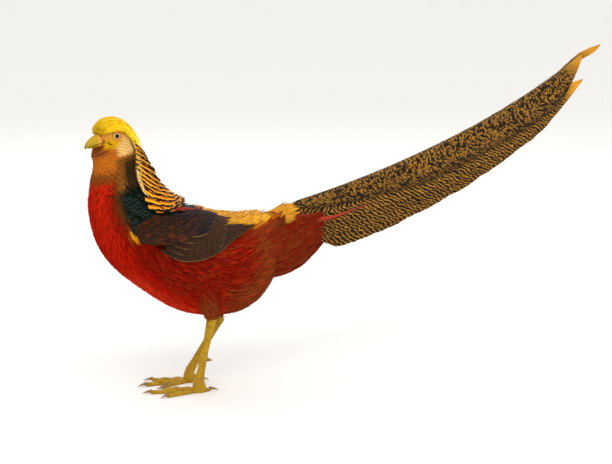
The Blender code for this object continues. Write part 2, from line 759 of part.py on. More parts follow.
def claw_rings(start, direction):
    """Rings of a claw that leaves the end of a toe and curves down to just above the floor."""
    rings = []
    for t in np.linspace(0, 1, 4):
        size = CLAW_RADIUS * (1 - CLAW_TAPER * t)
        middle = start + direction * CLAW_LENGTH * t
        middle.z = CLAW_HEIGHT * (1 - t * t) + CLAW_RADIUS * t * CLAW_TIP_HEIGHT
        rings.append(ring(middle, direction, size, size * CLAW_TALL, 6))
    return rings


def make_foot(side_name, side, foot, ankle, lean):
    """The ball of the foot with its four toes, cut flat where they stand, and the claws."""
    ball = []
    for t, size in BALL_SECTIONS:
        middle = foot.lerp(ankle, t)
        forward = Vector((0, 0, 1)).lerp(lean.normalized(), max(t, 0))
        ball.append(ring(middle, forward, size * 0.9, size, 14))
    body = loft(f"foot_{side_name}", ball, "leg_scale")
    toes = []
    for toe, (bearing, length, radius) in TOES.items():
        angle = math.radians(FOOT_HEADING[side_name] - side * bearing)
        direction = Vector((math.cos(angle), math.sin(angle), 0))
        start = foot + direction * 0.0012
        toes.append(loft("toe", toe_rings(start, direction, length, radius), "leg_scale"))
        tip = start + direction * (length + GAP)
        loft(f"claw_{toe}_{side_name}", claw_rings(tip, direction), "horn")
    boolean(body, toes, "UNION")
    bpy.ops.mesh.primitive_cube_add(size=0.3, location=(foot.x, foot.y, -0.15))
    boolean(body, [bpy.context.object], "DIFFERENCE")


def make_spur(side_name, place, lean):
    """A short blunt spur on the back of the shank, with its base clear of it by the gap."""
    behind = Vector((-lean.z, 0, lean.x)).normalized()
    girth = np.interp(SPUR_SHARE, [row[0] for row in SHANK_SECTIONS],
                      [row[2] for row in SHANK_SECTIONS])
    base = place + behind * (float(girth) + GAP)
    rings = []
    for t in np.linspace(0, 1, 4):
        size = SPUR_RADIUS * (1 - 0.8 * t)
        rings.append(ring(base + behind * SPUR_LENGTH * t, behind, size, size, 8))
    loft(f"spur_{side_name}", rings, "horn")


def make_leg(side_name, side):
    """Foot, shank with its spur, and the feathered thigh, which stops short of the torso."""
    foot = Vector((FOOT_X[side_name], side * FOOT_Y, 0))
    lean = SHANK_LEAN[side_name]
    lean = Vector((-math.sin(lean), 0, math.cos(lean)))
    ankle = foot + Vector((0, 0, ANKLE_HEIGHT)) + lean * 0.001
    make_foot(side_name, side, foot, ankle, lean)
    hock = ankle + lean * SHANK_LENGTH
    hip = Vector((HIP_X, side * HIP_Y, HIP_Z))
    up = hip - hock
    fold = (lean + up.normalized()).normalized()
    rings = []
    for t, wide, deep in SHANK_SECTIONS:
        forward = lean if t < 1 else fold
        rings.append(ring(ankle + lean * (GAP + SHANK_LENGTH * t), forward, wide, deep, 12))
    loft(f"shank_{side_name}", rings, "leg_scale")
    make_spur(side_name, ankle + lean * SHANK_LENGTH * SPUR_SHARE, lean)
    thigh = []
    for t, wide, deep in THIGH_SECTIONS:
        forward = fold if t == 0 else up
        thigh.append(ring(hock + fold * GAP * 2 + up * t, forward, wide, deep, 14))
    thigh = loft(f"thigh_{side_name}", thigh, "red_plumage")
    boolean(thigh, [torso_cutter()], "DIFFERENCE")


def settle():
    """Moves everything so that the origin lies under the middle of the bird's box."""
    bpy.context.view_layer.update()
    shown = [o for o in bpy.data.objects if o.type == "MESH"]
    corners = np.array([o.matrix_world @ v.co for o in shown for v in o.data.vertices])
    low, high = corners.min(axis=0), corners.max(axis=0)
    shift = Vector((-(low[0] + high[0]) / 2, -(low[1] + high[1]) / 2, -low[2]))
    for thing in shown:
        thing.location += shift


def main():
    clear_scene()
    make_torso()
    make_neck()
    make_head()
    make_eyes()
    make_bill()
    make_tail()
    for side_name, side in SIDES:
        make_wing(side_name, side)
        make_leg(side_name, side)
    settle()


if __name__ == "__main__":
    main()
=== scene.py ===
"""A golden pheasant cock in full plumage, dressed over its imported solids.

Metres. Shapes are worked out in the bird's own frame, with the floor point between its feet at the
origin, +X towards the bill and +Y to its left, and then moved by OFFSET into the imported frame. The
body is one loft along a spine: s is the share of the spine from tail to bill, around the angle
from the bird's left over its back. Feathers are thin closed vanes that lie back over a surface.
"""

import math

import bmesh
import bpy
import numpy as np
from bpy.props import FloatProperty, FloatVectorProperty, PointerProperty
from mathutils import Matrix, Vector


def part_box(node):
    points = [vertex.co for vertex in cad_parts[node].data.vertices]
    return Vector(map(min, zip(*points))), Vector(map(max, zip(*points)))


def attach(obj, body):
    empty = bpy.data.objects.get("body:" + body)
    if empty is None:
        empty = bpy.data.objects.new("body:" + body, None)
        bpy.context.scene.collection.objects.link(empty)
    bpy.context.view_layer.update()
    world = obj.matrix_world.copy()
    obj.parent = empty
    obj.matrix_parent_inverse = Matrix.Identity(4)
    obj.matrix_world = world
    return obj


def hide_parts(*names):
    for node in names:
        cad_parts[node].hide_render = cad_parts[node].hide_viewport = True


bl_info = {
    "name": "Golden Pheasant",
    "version": (1, 0, 0),
    "blender": (4, 5, 0),
    "location": "View3D > Sidebar > Pheasant",
    "description": "Builds a life-size golden pheasant cock, feather by feather",
    "category": "Add Mesh",
}

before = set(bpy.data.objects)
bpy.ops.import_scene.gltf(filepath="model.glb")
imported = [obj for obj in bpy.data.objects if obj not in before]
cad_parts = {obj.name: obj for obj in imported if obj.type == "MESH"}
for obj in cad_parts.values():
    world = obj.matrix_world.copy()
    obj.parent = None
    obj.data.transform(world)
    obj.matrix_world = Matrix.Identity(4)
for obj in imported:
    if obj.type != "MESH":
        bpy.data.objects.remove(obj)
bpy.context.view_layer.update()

SIDES = (("left", 1), ("right", -1))
DRAW = np.random.default_rng(7)

# Spine of the body from tail root to bill: x, z, half width, rise above it, drop below it, and
# how far the plumage of the breast and throat pushes its underside forward.
BODY_STATIONS = [
    (-0.116, 0.186, 0.013, 0.012, 0.015, 0.0),
    (-0.092, 0.171, 0.031, 0.027, 0.043, 0.0),
    (-0.052, 0.154, 0.047, 0.045, 0.070, 0.0),
    (-0.008, 0.148, 0.056, 0.057, 0.063, 0.0),
    (0.034, 0.162, 0.058, 0.056, 0.051, 0.0),
    (0.064, 0.188, 0.053, 0.050, 0.049, 0.001),
    (0.080, 0.218, 0.041, 0.040, 0.040, 0.005),
    (0.086, 0.246, 0.030, 0.031, 0.030, 0.008),
    (0.089, 0.266, 0.0225, 0.0230, 0.0235, 0.0085),
    (0.092, 0.282, 0.0185, 0.0190, 0.0185, 0.0160),
    (0.100, 0.2925, 0.0170, 0.0155, 0.0160, 0.017),
    (0.110, 0.2932, 0.0128, 0.0122, 0.0130, 0.0168),
    (0.118, 0.2922, 0.0080, 0.0078, 0.0095, 0.0),
]
BIB_PITCH = math.radians(22)
SPAN_STEPS = 24
HEAD_TURN, TURN_AXIS_X, TURN_FROM_Z, TURN_TO_Z = math.radians(12), 0.089, 0.235, 0.285

EYE_S, EYE_ROUND, EYE_RADIUS, EYE_SINK = 0.960, math.radians(4), 0.0048, 0.0026
# Cosine of the angle from the eye's axis where the iris and the pupil begin, and their soft ends.
IRIS_EDGE, PUPIL = (0.60, 0.68), (0.845, 0.865)
LID_RADIUS, LID_THICKNESS, LID_SIDES, LID_STEPS, LID_WRINKLES = 0.0044, 0.0007, 14, 48, 11
# Metres for each unit of s and of angle on the face, and the clear space round the eye.
FACE_ALONG, FACE_ROUND, EYE_CLEAR = 0.30, 0.017, 0.0047
BILL_LENGTH, LOWER_BILL_SHARE, BILL_HALF_WIDTH = 0.0195, 0.78, 0.0064
BILL_RISE, BILL_DROP, BILL_SAG, MOUTH_DROP = 0.0092, 0.0034, 0.0030, 0.0046
BILL_RINGS, BILL_SIDES, BILL_TAPER = 46, 40, 0.98

# Tail: ridge line from its root, by length, heading away from straight back, and pitch.
TAIL_ROOT, TAIL_LENGTH = (-0.092, 0.0, 0.194), 0.620
TAIL_HEADING, TAIL_HEADING_GAIN = math.radians(4), math.radians(14)
TAIL_PITCH, TAIL_PITCH_GAIN = math.radians(8.6), math.radians(12.9)
ROOF_RADIUS, ROOF_ANGLE, RIDGE_STEPS = 0.014, math.radians(66), 60
# Tail feathers, a pair a row from the top down: share of the tail's length, place down the roof
# and width. The left one of the top pair is shorter by a share.
RECTRICES = [
    (1.01, 0.019, 0.042),
    (0.91, 0.029, 0.042),
    (0.85, 0.037, 0.040),
    (0.73, 0.043, 0.038),
    (0.61, 0.048, 0.036),
    (0.49, 0.052, 0.034),
    (0.37, 0.055, 0.032),
]
LEFT_SHORTER, RECTRIX_STEP, TAIL_SINK, TAIL_SINK_LENGTH = 0.055, 0.0012, 0.009, 0.05
# How far behind the root the tail's feathers have their full spread.
FULL_SPREAD = 0.08

# Wing, from its front edge to its tip: share of the spine, middle and half height in degrees.
WING_STATIONS = [
    (0.672, -10, 13),
    (0.640, -4, 22),
    (0.590, 8, 29),
    (0.520, 23, 34),
    (0.430, 34, 29),
    (0.330, 42, 21),
    (0.230, 46, 13),
    (0.130, 46, 6),
]
WING_BULGE = [(0, 0.0012), (0.1, 0.0034), (0.3, 0.0046), (0.7, 0.0030), (1, 0.0008)]
WING_LENGTH, LANE_METRES = 0.19, 0.026

# Legs, left and right: place of the foot, its heading in degrees, and the lean of the shank.
FOOT_X = {"left": 0.005, "right": -0.0117}
FOOT_HEADING = {"left": -22.0, "right": -6.0}
SHANK_LEAN = {"left": math.radians(14), "right": math.radians(35.5)}
FOOT_Y, HIP = 0.025, (0.006, 0.034, 0.150)
SHANK_LENGTH, ANKLE_HEIGHT = 0.070, 0.013
SHANK_SECTIONS = [
    (0.0, 0.0050, 0.0060),
    (0.12, 0.0040, 0.0050),
    (0.5, 0.0034, 0.0042),
    (0.85, 0.0042, 0.0054),
    (1.0, 0.0050, 0.0064),
]
THIGH_SECTIONS = [
    (0.0, 0.0064, 0.0080),
    (0.2, 0.0100, 0.0130),
    (0.5, 0.0170, 0.0220),
    (1.0, 0.0240, 0.0320),
]
# Toes: bearing inwards from the foot's own heading in degrees, length and radius.
TOES = {
    "middle": (0.0, 0.053, 0.0048),
    "inner": (22.0, 0.038, 0.0042),
    "outer": (-29.0, 0.042, 0.0043),
    "hind": (171.0, 0.011, 0.0036),
}
CLAW_LENGTH, CLAW_RADIUS, CLAW_HEIGHT = 0.011, 0.0019, 0.0032
SPUR_LENGTH, SPUR_RADIUS, SPUR_SHARE = 0.0065, 0.0024, 0.34
# Rings and sides of the legs' meshes, and metres from one scute to the next.
SHANK_RINGS, SHANK_SIDES, TOE_SIDES, HORN_RINGS = 150, 32, 22, 16
SHANK_SCUTE, TOE_SCUTE = 0.0042, 0.0026

# Colours in sRGB, 0 to 255.
CAPE_DEEP = (220, 112, 12)
COLOURS = {
    "scarlet": ("Breast", (172, 18, 3)),
    "scarlet_dark": ("Flanks", (124, 18, 4)),
    "scarlet_light": ("Edge of the belly", (204, 48, 20)),
    "rust": ("Vent and thighs", (128, 54, 20)),
    "olive": ("Shade beside the mantle", (84, 50, 20)),
    "throat_low": ("Lower throat", (124, 66, 18)),
    "cere": ("Skin at the bill's base", (222, 146, 66)),
    "chin": ("Chin", (166, 90, 36)),
    "throat": ("Throat", (188, 104, 26)),
    "neck_brown": ("Side of the neck", (128, 78, 26)),
    "ink": ("Black bars", (11, 9, 7)),
    "umber": ("Shade beside the cape", (54, 38, 16)),
    "green": ("Mantle", (12, 26, 20)),
    "teal": ("Sheen of the mantle", (12, 38, 32)),
    "cheek": ("Ear patch", (230, 186, 108)),
    "lore": ("Skin by the eye", (222, 170, 20)),
    "gold": ("Crest", (255, 206, 6)),
    "gold_pale": ("Rear of the crest", (255, 232, 58)),
    "gold_olive": ("Front of the crest", (232, 186, 8)),
    "cape": ("Cape", (240, 152, 14)),
    "rump": ("Rump", (228, 160, 22)),
    "wing": ("Wing coverts", (58, 36, 20)),
    "wing_red": ("Dull red of the wing", (88, 40, 20)),
    "wing_blue": ("Inner flight feathers", (20, 19, 24)),
    "tan": ("Edges of the flight feathers", (146, 114, 68)),
    "ochre": ("Spots and bars of the tail", (160, 112, 40)),
    "tail_dark": ("Ground of the tail", (34, 24, 13)),
    "tail_gold": ("Tip of the tail", (206, 142, 36)),
    "spike": ("Red coverts of tail and wing", (168, 46, 22)),
    "leg": ("Legs", (184, 144, 8)),
    "leg_brown": ("Brown of the legs", (148, 102, 22)),
    "horn": ("Bill", (176, 146, 4)),
    "claw": ("Claws", (138, 104, 42)),
    "lid": ("Lid", (226, 106, 48)),
    "iris": ("Iris", (200, 190, 100)),
    "floor": ("Floor", (244, 243, 240)),
}


def linear(code):
    """Scene-linear parts of an sRGB colour given as 0 to 255."""
    share = np.asarray(code, float) / 255
    found = np.where(share <= 0.04045, share / 12.92, ((share + 0.055) / 1.055) ** 2.4)
    return tuple(float(v) for v in found)


class PheasantColours(bpy.types.PropertyGroup):
    """Colours of the plumage and of the bare parts."""

    __annotations__ = {
        key: FloatVectorProperty(
            name=label,
            description=f"Colour: {label.lower()}",
            subtype="COLOR",
            size=3,
            min=0.0,
            max=1.0,
            default=linear(code),
        )
        for key, (label, code) in COLOURS.items()
    }


class PheasantSizes(bpy.types.PropertyGroup):
    """Sizes of the coat and of the feathers."""

    coat_depth: FloatProperty(
        name="Coat depth",
        description="How deep the skin of the body lies under the tips of its feathers",
        unit="LENGTH",
        default=0.0025,
        min=0.001,
        max=0.004,
    )
    face_depth: FloatProperty(
        name="Face depth",
        description="How deep the skin of the face lies under the tips of its feathers",
        unit="LENGTH",
        default=0.0009,
        min=0.0005,
        max=0.002,
    )
    vane_depth: FloatProperty(
        name="Vane depth",
        description="Thickness of a feather at its shaft",
        unit="LENGTH",
        default=0.0003,
        min=0.0001,
        max=0.001,
    )
    density: FloatProperty(
        name="Density",
        description="Number of body feathers against the plain number",
        subtype="FACTOR",
        default=1.0,
        min=0.2,
        max=2.0,
    )


def sizes():
    """The sizes set in the panel."""
    return bpy.context.scene.pheasant_sizes


def tone(name):
    """A colour of the bird, as an array."""
    return np.array(getattr(bpy.context.scene.pheasant_colours, name))


def through_points(rows, steps):
    """A smooth curve through the rows, with this many steps from each to the next."""
    rows = np.asarray(rows, float)
    rows = np.vstack([2 * rows[0] - rows[1], rows, 2 * rows[-1] - rows[-2]])
    found = []
    for before, start, end, after in zip(rows, rows[1:], rows[2:], rows[3:]):
        t = np.linspace(0, 1, steps, endpoint=False)[:, None]
        straight = 2 * start + (end - before) * t
        bend = (2 * before - 5 * start + 4 * end - after) * t**2
        found.append(0.5 * (straight + bend + (3 * start - before - 3 * end + after) * t**3))
    return np.vstack([*found, rows[-2:-1]])


def spine_table():
    """Share of the spine's length, x, z, half width, rise, drop, push and slope, tail to bill."""
    rows = through_points(BODY_STATIONS, SPAN_STEPS)
    steps = np.hypot(*np.diff(rows[:, :2], axis=0).T)
    share = np.concatenate([[0], np.cumsum(steps)]) / steps.sum()
    slope = np.unwrap(np.arctan2(*np.gradient(rows[:, :2], axis=0).T[::-1]))
    return np.column_stack([share, rows, slope])


SPINE = spine_table()
SMALL_STEP = 1e-3
FACE_S = 1 - 2 * SMALL_STEP


def alike(*values):
    """The values as arrays of numbers, all of one shape."""
    return np.broadcast_arrays(*(np.asarray(value, float) for value in values))


def turned(points):
    """The points with the head's turn given to those above the neck."""
    x, y, z = np.moveaxis(np.asarray(points, float), -1, 0)
    share = np.clip((z - TURN_FROM_Z) / (TURN_TO_Z - TURN_FROM_Z), 0, 1)
    angle = HEAD_TURN * share * share * (3 - 2 * share)
    reach = x - TURN_AXIS_X
    turned_x = TURN_AXIS_X + reach * np.cos(angle) - y * np.sin(angle)
    return np.stack([turned_x, reach * np.sin(angle) + y * np.cos(angle), z], -1)


def on_body(s, around):
    """Points of the loft at share s of the spine, around from the bird's left over its back."""
    s, around = alike(s, around)
    row = [np.interp(s, SPINE[:, 0], SPINE[:, k]) for k in range(1, 8)]
    x, z, half, rise, drop, push, slope = row
    high = np.where(np.sin(around) > 0, rise, drop) * np.sin(around)
    push = push * np.clip(-np.sin(around), 0, 1) ** 1.5
    x = x - np.sin(slope) * high + push * math.cos(BIB_PITCH)
    z = z + np.cos(slope) * high - push * math.sin(BIB_PITCH)
    return turned(np.stack([x, half * np.cos(around), z], -1))


def body_sides(s, around):
    """How far the loft goes for each unit of s, in metres, and its outward normal."""
    along = (on_body(s + SMALL_STEP, around) - on_body(s - SMALL_STEP, around)) / (2 * SMALL_STEP)
    across = on_body(s, around + SMALL_STEP) - on_body(s, around - SMALL_STEP)
    normal = np.cross(across, along)
    normal /= np.linalg.norm(normal, axis=-1, keepdims=True)
    return along, normal


def above_body(s, around, lift):
    """Points this far above the loft, which runs straight on past its ends."""
    s, around, lift = alike(s, around, lift)
    inside = np.clip(s, 2 * SMALL_STEP, 1 - 2 * SMALL_STEP)
    along, normal = body_sides(inside, around)
    return on_body(inside, around) + normal * lift[..., None] + along * (s - inside)[..., None]


def tail_ridge():
    """Points along the ridge of the tail, with the directions to its left and up."""
    t = np.linspace(0, 1, RIDGE_STEPS + 1)
    heading = TAIL_HEADING + TAIL_HEADING_GAIN * t
    pitch = TAIL_PITCH + TAIL_PITCH_GAIN * t
    level = np.cos(pitch)
    back = np.stack([-np.cos(heading) * level, -np.sin(heading) * level, np.sin(pitch)], -1)
    steps = back[:-1] * TAIL_LENGTH / RIDGE_STEPS
    points = np.array(TAIL_ROOT) + np.vstack([np.zeros(3), np.cumsum(steps, axis=0)])
    side = np.stack([-np.sin(heading), np.cos(heading), 0 * t], -1)
    return points, side, np.cross(back, side) * -1.0


RIDGE = tail_ridge()


def on_tail(t, q, lift):
    """Points of the tail's roof: t metres behind its root, q metres down its left side."""
    t, q, lift = alike(t, q, lift)
    share = t / TAIL_LENGTH * RIDGE_STEPS
    low = np.clip(np.floor(share), 0, RIDGE_STEPS - 1).astype(int)
    part = (share - low)[..., None]
    point, side, up = (a[low] + (a[low + 1] - a[low]) * part for a in RIDGE)
    bend = np.clip(np.abs(q) / ROOF_RADIUS, 0, ROOF_ANGLE)
    rest = np.clip(np.abs(q) - ROOF_RADIUS * ROOF_ANGLE, 0, None)
    out = ROOF_RADIUS * np.sin(bend) + rest * math.cos(ROOF_ANGLE) + lift * np.sin(bend)
    down = ROOF_RADIUS * (1 - np.cos(bend)) + rest * math.sin(ROOF_ANGLE) - lift * np.cos(bend)
    return point + side * (np.sign(q) * out)[..., None] - up * down[..., None]


WING = through_points([(k / 7, *station) for k, station in enumerate(WING_STATIONS)], 8)


def on_wing(side):
    """The folded wing's surface on this side: u along it, v up across it, and lift."""

    def surface(u, v, lift):
        s, middle, half = (np.interp(u, WING[:, 0], WING[:, k]) for k in (1, 2, 3))
        bulge = np.interp(u, *zip(*WING_BULGE)) * np.sqrt(np.clip(1 - v**2, 0.04, 1))
        around = np.radians(middle + half * v)
        around = around if side > 0 else math.pi - around
        return above_body(s, around, 0.0012 + bulge + lift)

    return surface


def elevation(around):
    """Degrees above the side of the body: 90 on the back, -90 under the belly."""
    return np.degrees(np.arcsin(np.sin(around)))


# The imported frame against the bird's own, from where the left eye ended up.
EYE_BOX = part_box("eye_left")
OFFSET = np.array((EYE_BOX[0] + EYE_BOX[1]) / 2) - above_body(EYE_S, EYE_ROUND, -EYE_SINK)


def smooth(value, low, high):
    """0 below low, 1 above high, with a soft step between."""
    share = np.clip((value - low) / (high - low), 0, 1)
    return share * share * (3 - 2 * share)


# Markings on the body, each painted over those before: colour, share of the spine from and to,
# elevation from and to, and how soft its borders are in both.
MARKINGS = [
    ("scarlet_dark", 0.12, 0.64, -50, 40, 0.05, 16),
    ("scarlet_light", 0.16, 0.56, -90, -66, 0.05, 14),
    ("rust", -0.20, 0.31, -90, -26, 0.07, 16),
    ("rust", -0.20, 0.20, -90, 40, 0.08, 20),
    ("rump", 0.02, 0.47, 38, 90, 0.03, 10),
    ("green", 0.44, 0.70, 36, 90, 0.02, 8),
    ("green", 0.58, 0.70, 12, 90, 0.02, 6),
    ("scarlet_dark", 0.62, 0.80, -50, 20, 0.04, 18),
    ("throat_low", 0.808, 0.856, -90, 10, 0.020, 18),
    ("throat", 0.842, 0.935, -90, 10, 0.026, 18),
    ("olive", 0.680, 0.81, -42, 20, 0.03, 14),
    ("neck_brown", 0.770, 0.888, -34, 20, 0.02, 12),
    ("umber", 0.735, 0.872, -19, 60, 0.02, 9),
    ("green", 0.660, 0.785, -30, 60, 0.02, 8),
    ("rump", 0.640, 0.668, -38, -25, 0.008, 4),
    ("chin", 0.920, 1.10, -90, -42, 0.02, 16),
    ("lore", 0.938, 1.10, -42, 34, 0.016, 16),
    ("cere", 0.980, 1.10, -14, 34, 0.016, 18),
    ("cheek", 0.888, 0.941, -27, 30, 0.012, 11),
    ("gold_olive", 0.93, 1.10, 28, 90, 0.01, 8),
    # The two ink marks behind the bill's base are a painted shadow: the dark crease of the gape.
    ("ink", 0.976, 0.990, -23, -19, 0.003, 2.6),
    ("ink", 0.966, 0.979, -27, -23, 0.003, 2.6),
]


def body_colour(s, around, ragged=0.0):
    """Colour of the plumage at a place on the body, with ragged borders."""
    height = elevation(around)
    found = np.broadcast_to(tone("scarlet"), (*np.shape(s), 3)).copy()
    # A painted highlight: lighter scarlet on the front of the breast, where the light falls.
    painted_highlight = smooth(s, 0.5, 0.74) * smooth(height, 5, -50)
    found += (tone("scarlet_light") - found) * (0.35 * painted_highlight)[..., None]
    for name, s_low, s_high, low, high, s_soft, soft in MARKINGS:
        inside = smooth(s, s_low - s_soft, s_low + s_soft)
        inside *= smooth(-s, -s_high - s_soft, -s_high + s_soft)
        if low > -90:
            inside = inside * smooth(height, low - soft, low + soft)
        if high < 90:
            inside = inside * smooth(-height, -high - soft, -high + soft)
        share = np.clip((inside - 0.5) * 1.5 + 0.5 + ragged, 0, 1)
        share = np.where(inside > 0.02, share, 0)
        found += (tone(name) - found) * share[..., None]
    return found


class Graph:
    """Short calls that build one Principled material's nodes.

    Each makes a node, gives values or other nodes' sockets to its inputs, and returns its output.
    """

    def __init__(self, name, **sockets):
        self.made = bpy.data.materials.new(name)
        self.made.use_nodes = True
        self.tree = self.made.node_tree
        self.shader = self.tree.nodes["Principled BSDF"]
        for key, value in sockets.items():
            title = key.replace("_", " ").title().replace("Ior", "IOR")
            self.shader.inputs[title].default_value = value

    def add(self, kind, links=(), output=0, **settings):
        """A node with its settings, and with values or sockets given to its inputs."""
        found = self.tree.nodes.new(kind)
        for key, value in settings.items():
            setattr(found, key, value)
        for key, value in dict(links).items():
            self.give(found.inputs[key], value)
        return found.outputs[output]

    def give(self, socket, value):
        """Links the value to the socket, or sets it there. A colour may leave out its alpha."""
        if isinstance(value, bpy.types.NodeSocket):
            self.tree.links.new(value, socket)
        elif getattr(socket, "type", "") == "RGBA" and len(value) == 3:
            socket.default_value = (*value, 1.0)
        else:
            socket.default_value = value

    def calc(self, operation, first, second=0.0, third=0.0, clamp=False):
        return self.add(
            "ShaderNodeMath",
            {0: first, 1: second, 2: third},
            operation=operation,
            use_clamp=clamp,
        )

    def blend(self, share, first, second, kind="MIX"):
        return self.add(
            "ShaderNodeMix",
            {0: share, 6: first, 7: second},
            output=2,
            data_type="RGBA",
            blend_type=kind,
        )

    def step(self, value, low, high):
        """0 where value is low, 1 where it is high, and soft between."""
        return self.add(
            "ShaderNodeMapRange", {0: value, 1: low, 2: high}, interpolation_type="SMOOTHSTEP"
        )

    def noise(self, vector, scale, detail=2.0):
        return self.add("ShaderNodeTexNoise", {"Vector": vector, "Scale": scale, "Detail": detail})

    def times(self, first, second):
        return self.calc("MULTIPLY", first, second)

    def scaled(self, value, factor, more):
        """The value times the factor, plus more."""
        return self.calc("MULTIPLY_ADD", value, factor, more)

    def less(self, first, second):
        return self.calc("SUBTRACT", first, second)

    def parts(self, vector):
        found = self.tree.nodes.new("ShaderNodeSeparateXYZ")
        self.tree.links.new(vector, found.inputs[0])
        return found.outputs

    def join(self, x, y, z=0.0):
        return self.add("ShaderNodeCombineXYZ", {0: x, 1: y, 2: z})

    def stretched(self, place, x, y, z):
        """The place across a feather, back from its tip and by its seed, each scaled."""
        return self.join(*(self.times(part, size) for part, size in zip(place, (x, y, z))))

    def shaded(self, colour, shade):
        return self.blend(1.0, colour, self.join(shade, shade, shade), "MULTIPLY")

    def here(self):
        """The place on the object."""
        return self.add("ShaderNodeTexCoord", output=3)

    def vector(self, operation, first, second, **more):
        return self.add("ShaderNodeVectorMath", {0: first, 1: second}, operation=operation, **more)

    def attribute(self, name, vector=False):
        return self.add("ShaderNodeAttribute", output=1 if vector else 0, attribute_name=name)

    def bump(self, height, distance, strength=1.0):
        made = self.add(
            "ShaderNodeBump", {"Height": height, "Distance": distance, "Strength": strength}
        )
        self.tree.links.new(made, self.shader.inputs["Normal"])

    def paint(self, colour):
        self.tree.links.new(colour, self.shader.inputs["Base Color"])
        return self.made


def feather_look(name, pattern=None, roughness=0.62, gloss=0.12, fray=0.30, barbs=34.0, root=0.35):
    """Plumage: barbs that slant from the shaft, a shade of its own for each feather, a pattern.

    The point attribute "place" holds metres across and back from the tip, and the feather's seed.
    The UV map "vane" runs across and along it.
    """
    graph = Graph(name, roughness=roughness, specular_ior_level=gloss)
    across, along, _ = graph.parts(graph.add("ShaderNodeUVMap", uv_map="vane"))
    place = graph.parts(graph.attribute("place", vector=True))
    seed = place[2]
    off_shaft = graph.calc("ABSOLUTE", graph.less(across, 0.5))
    run = graph.less(along, graph.times(off_shaft, 0.35))
    grain = graph.noise(graph.stretched((off_shaft, run, seed), 1.6, barbs, 91.0), 1.0, 3.0)
    colour = graph.attribute("tint")
    if pattern:
        colour = pattern(graph, colour, across, place, grain)
    shade = graph.scaled(graph.less(grain, 0.5), fray * 2.2, 1.0)
    own = graph.add("ShaderNodeTexWhiteNoise", {"W": graph.times(seed, 731.0)},
                    noise_dimensions="1D")
    shade = graph.times(shade, graph.scaled(own, 0.26, 0.87))
    base = graph.scaled(graph.step(along, 0.0, 0.55), root, 1.0 - root)
    shade = graph.times(shade, base)
    shaft = graph.step(off_shaft, 0.0, 0.05)
    shade = graph.times(shade, graph.scaled(shaft, 0.12, 0.88))
    graph.bump(grain, 0.0005, 0.55)
    return graph.paint(graph.shaded(colour, shade))


# Metres from one dark bar to the next.
CAPE_BAR_PERIOD, FLIGHT_BAR_PERIOD, TAIL_BAR_PERIOD = 0.0058, 0.0065, 0.0064


def cape_pattern(graph, colour, across, place, grain):
    """Black bars across the feather, a thin gold edge at its tip, and gold between."""
    where = graph.stretched(place, 320.0, 90.0, 50.0)
    wave = graph.scaled(graph.noise(where, 1.0), 0.0034, graph.less(place[1], 0.0017))
    phase = graph.calc("DIVIDE", graph.less(wave, 0.0005), CAPE_BAR_PERIOD)
    phase = graph.calc("FRACT", phase)
    bar = graph.times(graph.step(phase, 0.0, 0.05), graph.less(1.0, graph.step(phase, 0.42, 0.52)))
    bar = graph.times(bar, graph.step(place[1], 0.0002, 0.0006))
    deep = graph.blend(graph.step(phase, 0.60, 1.0), colour, linear(CAPE_DEEP))
    return graph.blend(bar, deep, tone("ink"))


def mantle_pattern(graph, colour, across, place, grain):
    """Dark green with a teal sheen inside a black edge, like scales."""
    edge = graph.step(place[1], 0.0006, 0.0020)
    rim = graph.step(place[1], 0.0013, 0.0034)
    inner = graph.blend(rim, tone("teal"), colour)
    side = graph.step(graph.calc("ABSOLUTE", graph.less(across, 0.5)), 0.47, 0.38)
    return graph.blend(graph.times(edge, side), tone("ink") * 0.6, inner)


def mottled_pattern(graph, colour, across, place, grain):
    """Fine dark and light mottling in short wavy bars, with a paler margin."""
    spread = graph.stretched(place, 380.0, 520.0, 40.0)
    fleck = graph.step(graph.noise(spread, 1.0, 3.0), 0.44, 0.62)
    mixed = graph.blend(graph.times(fleck, 0.75), colour, tone("ink"))
    tip = graph.step(place[1], 0.0022, 0.0004)
    return graph.blend(graph.times(tip, 0.35), mixed, tone("wing_red"))


def flight_pattern(graph, colour, across, place, grain):
    """Flight feathers: the colour of the vane, rusty freckles in faint bars, and a tan margin."""
    wave = graph.scaled(grain, 0.005, place[1])
    bars = graph.calc("SINE", graph.times(wave, 2 * math.pi / FLIGHT_BAR_PERIOD))
    where = graph.stretched(place, 700.0, 260.0, 40.0)
    fleck = graph.step(graph.noise(where, 1.0, 3.0), 0.48, 0.66)
    barred = graph.blend(graph.times(graph.step(bars, 0.1, 0.8), 0.5), colour, tone("ink"))
    barred = graph.blend(graph.times(fleck, 0.4), barred, tone("wing_red"))
    edge = graph.times(graph.step(across, 0.10, 0.03), graph.scaled(grain, 1.2, -0.1))
    return graph.blend(edge, barred, tone("tan"))


def spotted_pattern(graph, colour, across, place, grain):
    """Small ochre spots netted with black on the tail's middle feathers, a plain gold tip, and a painted
    shadow: the dark ground along the vane's lower edge.
    """
    slope = graph.times(graph.calc("ABSOLUTE", place[0]), 0.8)
    back = graph.calc("ADD", place[1], slope)
    where = graph.stretched((place[0], back, place[2]), 300.0, 360.0, 60.0)
    bent = graph.add("ShaderNodeTexNoise", {"Vector": where, "Scale": 0.9, "Detail": 1.0}, output=1)
    where = graph.add("ShaderNodeVectorMath", {0: bent, 1: (0.8, 0.8, 0.0), 2: where},
                      operation="MULTIPLY_ADD")
    cell = graph.add("ShaderNodeTexVoronoi", {"Vector": where, "Scale": 1.0, "Randomness": 0.75})
    spot = graph.step(graph.scaled(grain, 0.30, cell), 0.74, 0.54)
    inner = graph.blend(spot, tone("tail_dark"), tone("ochre"))
    inner = graph.blend(graph.step(place[1], 0.055, 0.012), inner, tone("tail_gold"))
    # The vane's lower edge keeps more of the plain dark tint: a painted shadow where it meets the
    # feathers below.
    low = graph.step(across, 0.02, 0.34)
    return graph.blend(graph.scaled(low, 0.65, 0.35), colour, inner)


